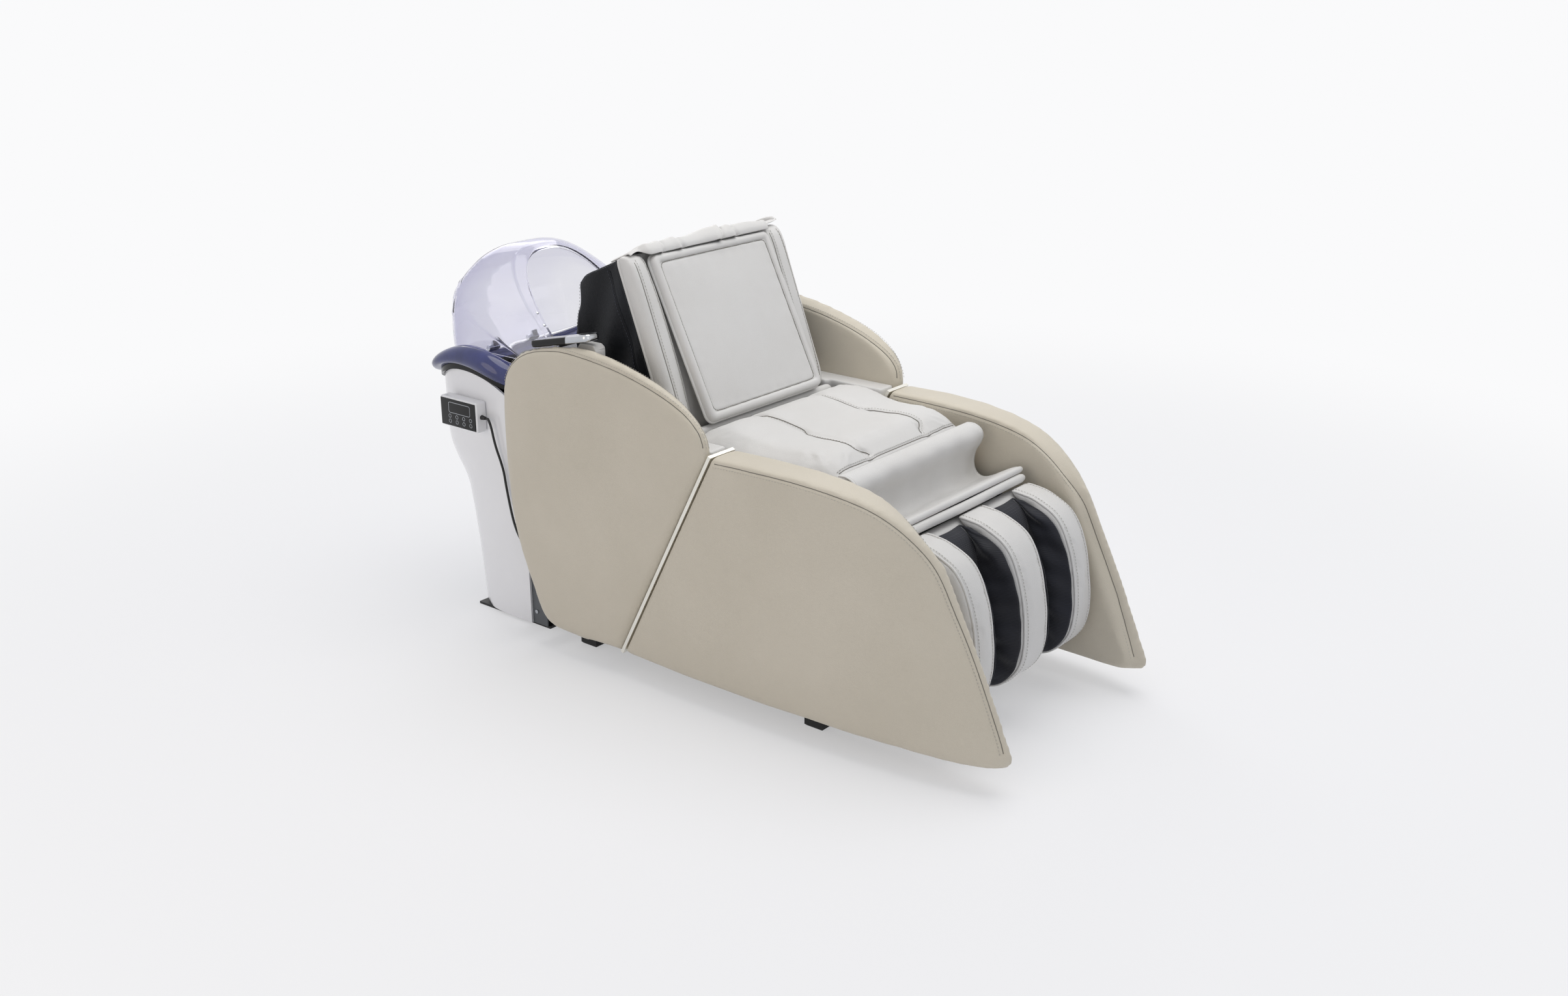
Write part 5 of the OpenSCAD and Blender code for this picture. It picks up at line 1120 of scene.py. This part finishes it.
def housing_top(y):
    """Height of the housing's upper edge."""
    return housing_z - (0.0018 if y < crest_y else 0.003) * (y - crest_y) ** 2


def ridge_z(y):
    """Height of the rim's crest."""
    return housing_z + band_h + rim_h - (0.003 if y < 815 else 0.0024) * (y - 815) ** 2


def loop_point(a, share):
    """Point of the rim's plan at a turn, drawn in to a share of it."""
    c, q = math.cos(a), math.sin(a)
    k = share / (c**4 + q**4) ** 0.25
    return np.array([k * rim_half * c, rim_mid + k * rim_d * q])


# %% Housing and band
rear_shares = [[0, 0.6], [0.02, 0.64], [0.09, 0.655], [0.26, 0.69], [0.42, 0.735], [0.53, 0.775],
    [0.58, 0.82], [0.63, 0.89], [0.7, 0.965], [0.78, 0.995], [0.9, 1], [1, 1]]


def housing_point(a, share, inset):
    """Point of the housing at a turn of its plan, a share of its height, and set in by a wall."""
    c, q = math.cos(a), math.sin(a)
    k = 1 / (abs(c) ** 5.5 + abs(q) ** 5.5) ** (1 / 5.5)
    top = housing_top(pedestal_y + q * k * (pedestal_d - inset))
    deep = height_at(rear_shares, share) * pedestal_d
    return [-c * k * (pedestal_half - inset), pedestal_y + q * k * (deep - inset), 6 + share * (top - 6)]


levels = [k / 44 for k in range(45)]
rows = [[housing_point(math.pi * i / 130, s, 0) for s in levels]
    + [housing_point(math.pi * i / 130, s, 6) for s in reversed(levels)] for i in range(131)]
housing = loft("pedestal_housing", in_bed(rows), white_shell, ring=True, folded=True, sharp=35)
place(housing, "base", "white_shell", "pedestal_housing")
rim_turns = [-2 * math.pi * i / 200 for i in range(200)]
band_section = ((0.93, 0.95 - band_h), (0.932, -3.5), (0.93, -0.3), (0.89, -0.3), (0.89, 0.95 - band_h))
rows = []
for a in rim_turns:
    row = [(loop_point(a, share), off) for share, off in band_section]
    rows.append([[*p, housing_top(p[1]) + band_h + off] for p, off in row])
band = loft("trim_band", in_bed(rows), black_gloss, ring=True, joined=True, sharp=50)
place(band, "base", "black_gloss", "trim_band")
print("housing:", len(housing.data.polygons), "faces, band:", len(band.data.polygons))

# %% Basin
# Share of the rim's plan, of the way up to its crest, and of the way down to the bowl's floor.
bowl_shares = [[0.93, 0, 0], [0.98, 0.12, 0], [1, 0.42, 0], [0.985, 0.72, 0], [0.95, 0.93, 0],
    [0.905, 1, 0], [0.87, 0.9, 0], [0.845, 0.62, 0], [0.8, 0.5, 0.02], [0.765, 0.3, 0.1],
    [0.72, 0, 0.42], [0.63, 0, 0.78], [0.42, 0, 0.95]]
bowl_low = housing_z + band_h + rim_h - 215
rows = []
for a in rim_turns:
    far = loop_point(a, 1) - np.array([0, rim_mid])
    r = float(np.linalg.norm(far))
    y0, y1 = loop_point(a, 0.93)[1], loop_point(a, 0.905)[1]
    z0, z1 = housing_top(y0) + band_h, ridge_z(y1)
    line = []
    for share, up, down in bowl_shares:
        z = z0 + up * (z1 - z0)
        line.append([share * r, z + down * (bowl_low - z), 0])
    fine = curve(line, 5)[:, :2]
    steps = np.arange(len(fine)) / 5
    ridges = np.where((steps > 4.6) & (steps < 8.4), np.sin((steps - 4.6) / 3.8 * math.pi * 5) ** 2
        * np.sin((steps - 4.6) / 3.8 * math.pi), 0)
    fine[:, 1] += 1.8 * ridges
    drain = [[22, bowl_low], [22, bowl_low - 5]]
    whole = np.vstack([fine, drain, aside(fine, 5)[::-1]])
    rows.append([[q * far[0] / r, rim_mid + q * far[1] / r, z] for q, z in whole])
basin = loft("basin", in_bed(rows), navy_acrylic, black_gloss, ring=True, joined=True, sharp=60)
for face in basin.data.polygons:
    x, y = face.center.x, face.center.y + seam_top_y - rim_mid / 1000
    edge = np.linalg.norm(loop_point(math.atan2(y * rim_half, x * rim_d), 1) - np.array([0, rim_mid])) / 1000
    face.material_index = 1 if math.hypot(x, y) < 0.80 * edge else 0
place(basin, "base", "navy_acrylic", "basin")
print("basin:", len(basin.data.polygons), "faces")

# %% [markdown]
# ## The hood
# A clear dome that keeps the steam and spray over the basin. It is a blown shell 4 mm thick with a raised
# flange round its opening, fixed at its feet with small screws, and with shallow embossed facet lines over
# its top that stiffen it. It follows the source's rule and swings on its two hinges.

# %% Hood rules
hood_shares = [[0, 0.888], [0.12, 0.918], [0.25, 0.948], [0.38, 0.982], [0.5, 1], [0.62, 0.999],
    [0.72, 0.996], [0.8, 0.974], [0.86, 0.922], [0.91, 0.878], [0.95, 0.838], [1, 0.781]]
hood_wide_shares = [[0, 1], [0.12, 1], [0.25, 1], [0.38, 1], [0.5, 1], [0.62, 0.94], [0.72, 0.847],
    [0.8, 0.755], [0.86, 0.694], [0.91, 0.644], [0.95, 0.605], [1, 0.558]]
hood_bend_shares = [[0, 0.364], [0.25, 0.4], [0.5, 0.46], [0.75, 0.56], [0.88, 0.68], [1, 0.83]]
hood_half, hood_y, hood_l, hood_foot_z, hood_foot_r = 265.0, 665.0, 366.0, 668.0, 14.0
hood_open, hood_wall, flange_from = 47, 4, 0.93  # degrees, millimetres, and share of the opening angle


def hood_point(s, a, inward):
    """Point of the hood at a share of its opening angle and a turn of its section, set in by a distance."""
    f = max(0, min(1, (s - 0.42 - 0.36 * math.sqrt(abs(math.sin(a)))) / 0.14))
    t = math.radians(s * hood_open)
    e = height_at(hood_bend_shares, s)
    c = math.cos(a)
    r = height_at(hood_shares, s) * hood_l - hood_foot_r - (1 - 0.5 * f) * inward
    d = hood_foot_r + r * abs(math.sin(a)) ** e
    w = hood_half * height_at(hood_wide_shares, s) - (1 - f) * inward
    y = hood_y + d * math.cos(t) + f * inward * math.sin(t)
    fall = 0.0018 * (1 - s) ** 2 * max(0, y - 815) ** 2
    z = hood_foot_z + d * math.sin(t) - f * inward * math.cos(t) - fall
    return [-math.copysign(abs(c) ** e * w, c), y, z]


def emboss(s, a):
    """Height of the facet lines: two arcs over the crown and the ribs between them."""
    turn = math.degrees(a)
    line = 0.0
    if 38 < turn < 142:
        line = max(line, math.exp(-(((s - 0.34) / 0.012) ** 2)), math.exp(-(((s - 0.56) / 0.012) ** 2)))
    if 0.34 < s < 0.56:
        line = max(line, math.exp(-(((turn - 38) / 1.2) ** 2)), math.exp(-(((turn - 142) / 1.2) ** 2)))
    return 1.6 * line


# %% Hood shell
hood_steps = sorted(set([round(flange_from * k / 70, 4) for k in range(71)] + [0.932, 0.934, 0.936, 0.94, 0.95,
    0.965, 0.98, 0.992, 1]))
turns = [math.pi * (i / 150) for i in range(151)]
rows = []
for s in hood_steps:
    flange = hood_wall * min(1, max(0, (s - flange_from) / 0.006))
    rows.append([hood_point(s, a, -flange - emboss(s, a)) for a in turns]
        + [hood_point(s, a, hood_wall) for a in reversed(turns)])
hood = loft("hood", in_bed(rows), clear_acrylic, ring=True, folded=True, sharp=50)
place(hood, "hood", "clear_acrylic", "hood")
print("hood:", len(hood.data.polygons), "faces")


# %% Screws on the flange
def head_tree():
    """A low round screw head on each point."""
    tree, given = new_tree("screw_heads", "Width", "Rise")
    ball = put(tree, "GeometryNodeMeshUVSphere", {"Segments": 14, "Rings": 8, "Radius": 0.5}).outputs[0]
    size = put(tree, "ShaderNodeCombineXYZ", {0: given["Width"], 1: given["Rise"], 2: given["Width"]})
    tilt = put(tree, "FunctionNodeAlignRotationToVector", {"Vector": (0, -0.73, 0.68)}, axis="Y").outputs[0]
    return strewn(tree, given, given["Places"], ball, tilt, Scale=size.outputs[0])


spots = [hood_point(0.975, math.radians(a), -4.5) for a in (9, 16, 164, 171)]
flange_screws = grown("hood_flange_screws", head_tree(), in_bed(spots), [],
    {"Width": 0.008, "Rise": 0.003, "Material": chrome})
place(flange_screws, "hood", "chrome")
print("flange screws:", len(flange_screws.data.polygons), "faces")

# %% [markdown]
# ## The controls
# A white box with rounded edges carries a black glass with a screen and eight touch marks. The marks are
# rings of printed ink: one ring, set on a grid of points by Geometry Nodes.


# %% Rounded boxes
def rounded_box(name, low, high, r, *materials):
    """A moulded box between two corners in millimetres, with its edges rounded."""
    form = bmesh.new()
    bmesh.ops.create_cube(form, size=1)
    low, high = in_bed(low), in_bed(high)
    for v in form.verts:
        v.co = Vector((low + high) / 2 + np.array(v.co) * (high - low))
    bmesh.ops.bevel(form, geom=form.edges[:], offset=r / 1000, segments=5, profile=0.5, affect="EDGES")
    points = [v.co.copy() for v in form.verts]
    faces = [[v.index for v in f.verts] for f in form.faces]
    form.free()
    return shape(name, points, faces, *materials, sharp=30)


box_x = pedestal_half + 0.3
control_box = rounded_box("control_box", [-box_x - 32, 775, 482], [-box_x, 907, 558], 5, white_shell)
place(control_box, "base", "white_shell", "control_box")
glass_x = -box_x - 34
control_glass = rounded_box("control_glass", [glass_x, 779, 486], [-box_x - 32, 903, 554], 0.8, black_glass)
place(control_glass, "base", "black_glass", "control_glass")
print("control box stands", 32, "mm out from the housing")


# %% Printed marks
def ring_tree():
    """A thin printed ring on each point, in the plane (y, z)."""
    tree, given = new_tree("printed_rings", "Radius", "Line")
    circle = put(tree, "GeometryNodeCurvePrimitiveCircle", {"Resolution": 24, "Radius": given["Radius"]})
    section = put(tree, "GeometryNodeCurvePrimitiveCircle", {"Resolution": 4, "Radius": given["Line"]})
    ring = put(tree, "GeometryNodeCurveToMesh",
        {"Curve": circle.outputs[0], "Profile Curve": section.outputs[0]}).outputs[0]
    turn = put(tree, "FunctionNodeAlignRotationToVector", {"Vector": (1, 0, 0)}, axis="Z").outputs[0]
    return strewn(tree, given, given["Places"], ring, turn)


print_x = glass_x - 0.1
marks = [[print_x, 796 + 25 * i, 498 + 13 * k] for i in range(4) for k in range(2)]
touch_marks = grown("touch_marks", ring_tree(), in_bed(marks), [],
    {"Radius": 0.0044, "Line": 0.0007, "Material": glass_print})
corners = [[print_x, y, z] for y, z in ((800, 520), (797, 523), (797, 543), (800, 546), (871, 546),
    (874, 543), (874, 523), (871, 520))]
screen_line = tube("screen_outline", even(in_bed(corners), 0.003, True), 0.0007, glass_print,
    closed=True, sides=6)
for piece in (touch_marks, screen_line):
    place(piece, "base", "black_glass")
print("touch marks:", len(marks))

# %% [markdown]
# ## The handset
# A slim remote lies on the right arm, on a small padded rest. Its body is chromed ABS with a bright bezel;
# the rear half of its top is black glass and the front half is chrome, parted by a slanted line.


# %% Handset
def in_handset(points):
    """Points on the handset (mm from its middle, its underside at 0), in the bed's frame."""
    return in_bed(tilted(points, 12.8, (-347.016, 440, 762.6)))


def handset_loop(inset, z):
    """The handset's rounded plan, set in by some millimetres, at a height."""
    r, w, l = max(1.0, 13.8 - inset), 23 - inset, 95 - inset
    points = []
    for k, (sx, sy) in enumerate(((1, 1), (-1, 1), (-1, -1), (1, -1))):
        for i in range(24):
            a = math.pi / 2 * (k + i / 23)
            points.append([sx * (w - r) + r * math.cos(a), sy * (l - r) + r * math.sin(a), z])
    return points


rows = [handset_loop(d, z) for d, z in ((6, 0), (3, 0.5), (1.2, 2), (0.2, 5), (0, 8), (0.3, 11), (1, 13.6),
    (2, 15.2), (2.6, 16), (3.1, 15.6), (3.2, 14))]
handset = loft("handset_body", in_handset(rows), handset_chrome, black_gloss, ring=True, poles=True, sharp=60)
place(handset, "handset", "handset_chrome", "handset_body")
rows = [handset_loop(d, z) for d, z in ((3.6, 14.3), (3.5, 15.4), (3.9, 16), (6, 16.3), (12, 16.5))]
top = loft("handset_glass", in_handset(rows), black_glass, handset_chrome, ring=True, poles=True, sharp=60)
# Both pieces change from chrome to black at the same slanted cut.
cut_at, cut_way = Vector(in_handset([0, -12, 15])), Vector((-0.55, 0.83, 0)).normalized()
for half, rear_index in ((top, 0), (handset, 1)):
    form = bmesh.new()
    form.from_mesh(half.data)
    bmesh.ops.bisect_plane(form, geom=form.verts[:] + form.edges[:] + form.faces[:], plane_co=cut_at,
        plane_no=cut_way, dist=1e-6)
    for face in form.faces:
        behind = (face.calc_center_median() - cut_at).dot(cut_way) > 0
        face.material_index = rear_index if behind else 1 - rear_index
    form.to_mesh(half.data)
    form.free()
place(top, "handset", "black_glass", "handset_glass")
rest = padding("handset_cradle", 0.0025, 6, pale_leather, finer=0)
place(rest, "base", "pale_leather", "handset_cradle", fill=0.8)
low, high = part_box("handset_cradle")
ring = [[low.x + 0.001, low.y + 0.006], [high.x - 0.008, low.y + 0.002], [high.x - 0.001, low.y + 0.010],
    [high.x - 0.001, high.y - 0.010], [high.x - 0.008, high.y - 0.002], [low.x + 0.001, high.y - 0.006]]
rest_piping = tube("handset_rest_piping", even([[x, y, high.z - 0.010] for x, y in ring], 0.004), 0.0018,
    pale_leather, sides=8, taper=2)
place(rest_piping, "base", "pale_leather")
print("handset:", len(handset.data.polygons), "faces")

# %% [markdown]
# ## Stitching it all
# Every seam laid above now gets its folded edge and its thread; on pale and sand leather that edge is
# painted dark, as painted shade in the seam's valley. One mesh of stitches for each body and thread keeps
# the parts few, and each but the navy ones rides on the body of its seam; the navy ones stay in place.

# %% Folds and stitches
# On pale and sand leather the fold is painted dark: painted shade at the valley's floor, not a darker leather.
threads = {"pale": (thread, painted_seam_shade, "pale_leather"), "sand": (thread, painted_seam_shade, "side_leather"),
    "navy": (dark_thread, navy_leather, "navy_leather")}
for (body, colour), lines in seams.items():
    yarn, fold_and_shade_material, slot = threads[colour]
    pieces, points, edges = [], [], []
    for number, (fold, row, closed) in enumerate(lines):
        first = len(points)
        points += [tuple(p) for p in row]
        edges += [(first + i, first + i + 1) for i in range(len(row) - 1)]
        if closed:
            edges.append((first + len(row) - 1, first))
        if fold is not None:
            pieces.append(tube(f"seam_fold_{body}_{colour}_{number}", fold[::2], 0.0009, fold_and_shade_material,
                closed=closed, sides=5))
    pieces.append(grown(f"stitches_{body}_{colour}", stitches_along, points, edges,
        {"Pitch": 0.0075, "Length": 0.0052, "Thickness": 0.0011, "Material": yarn}))
    for piece in pieces:
        place(piece, None if colour == "navy" else body, slot)
        if colour == "navy":
            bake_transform(piece)
    print("stitches on", body, colour + ":", len(pieces[-1].data.polygons), "faces")

# %% [markdown]
# ## Leftovers
# Meshes that no object uses any more are removed. The dressed bed has to stay inside the CAD model's box,
# apart from what fabric may stand proud.

# %% Leftover meshes
for leftover in [m for m in bpy.data.meshes if not m.users]:
    bpy.data.meshes.remove(leftover)
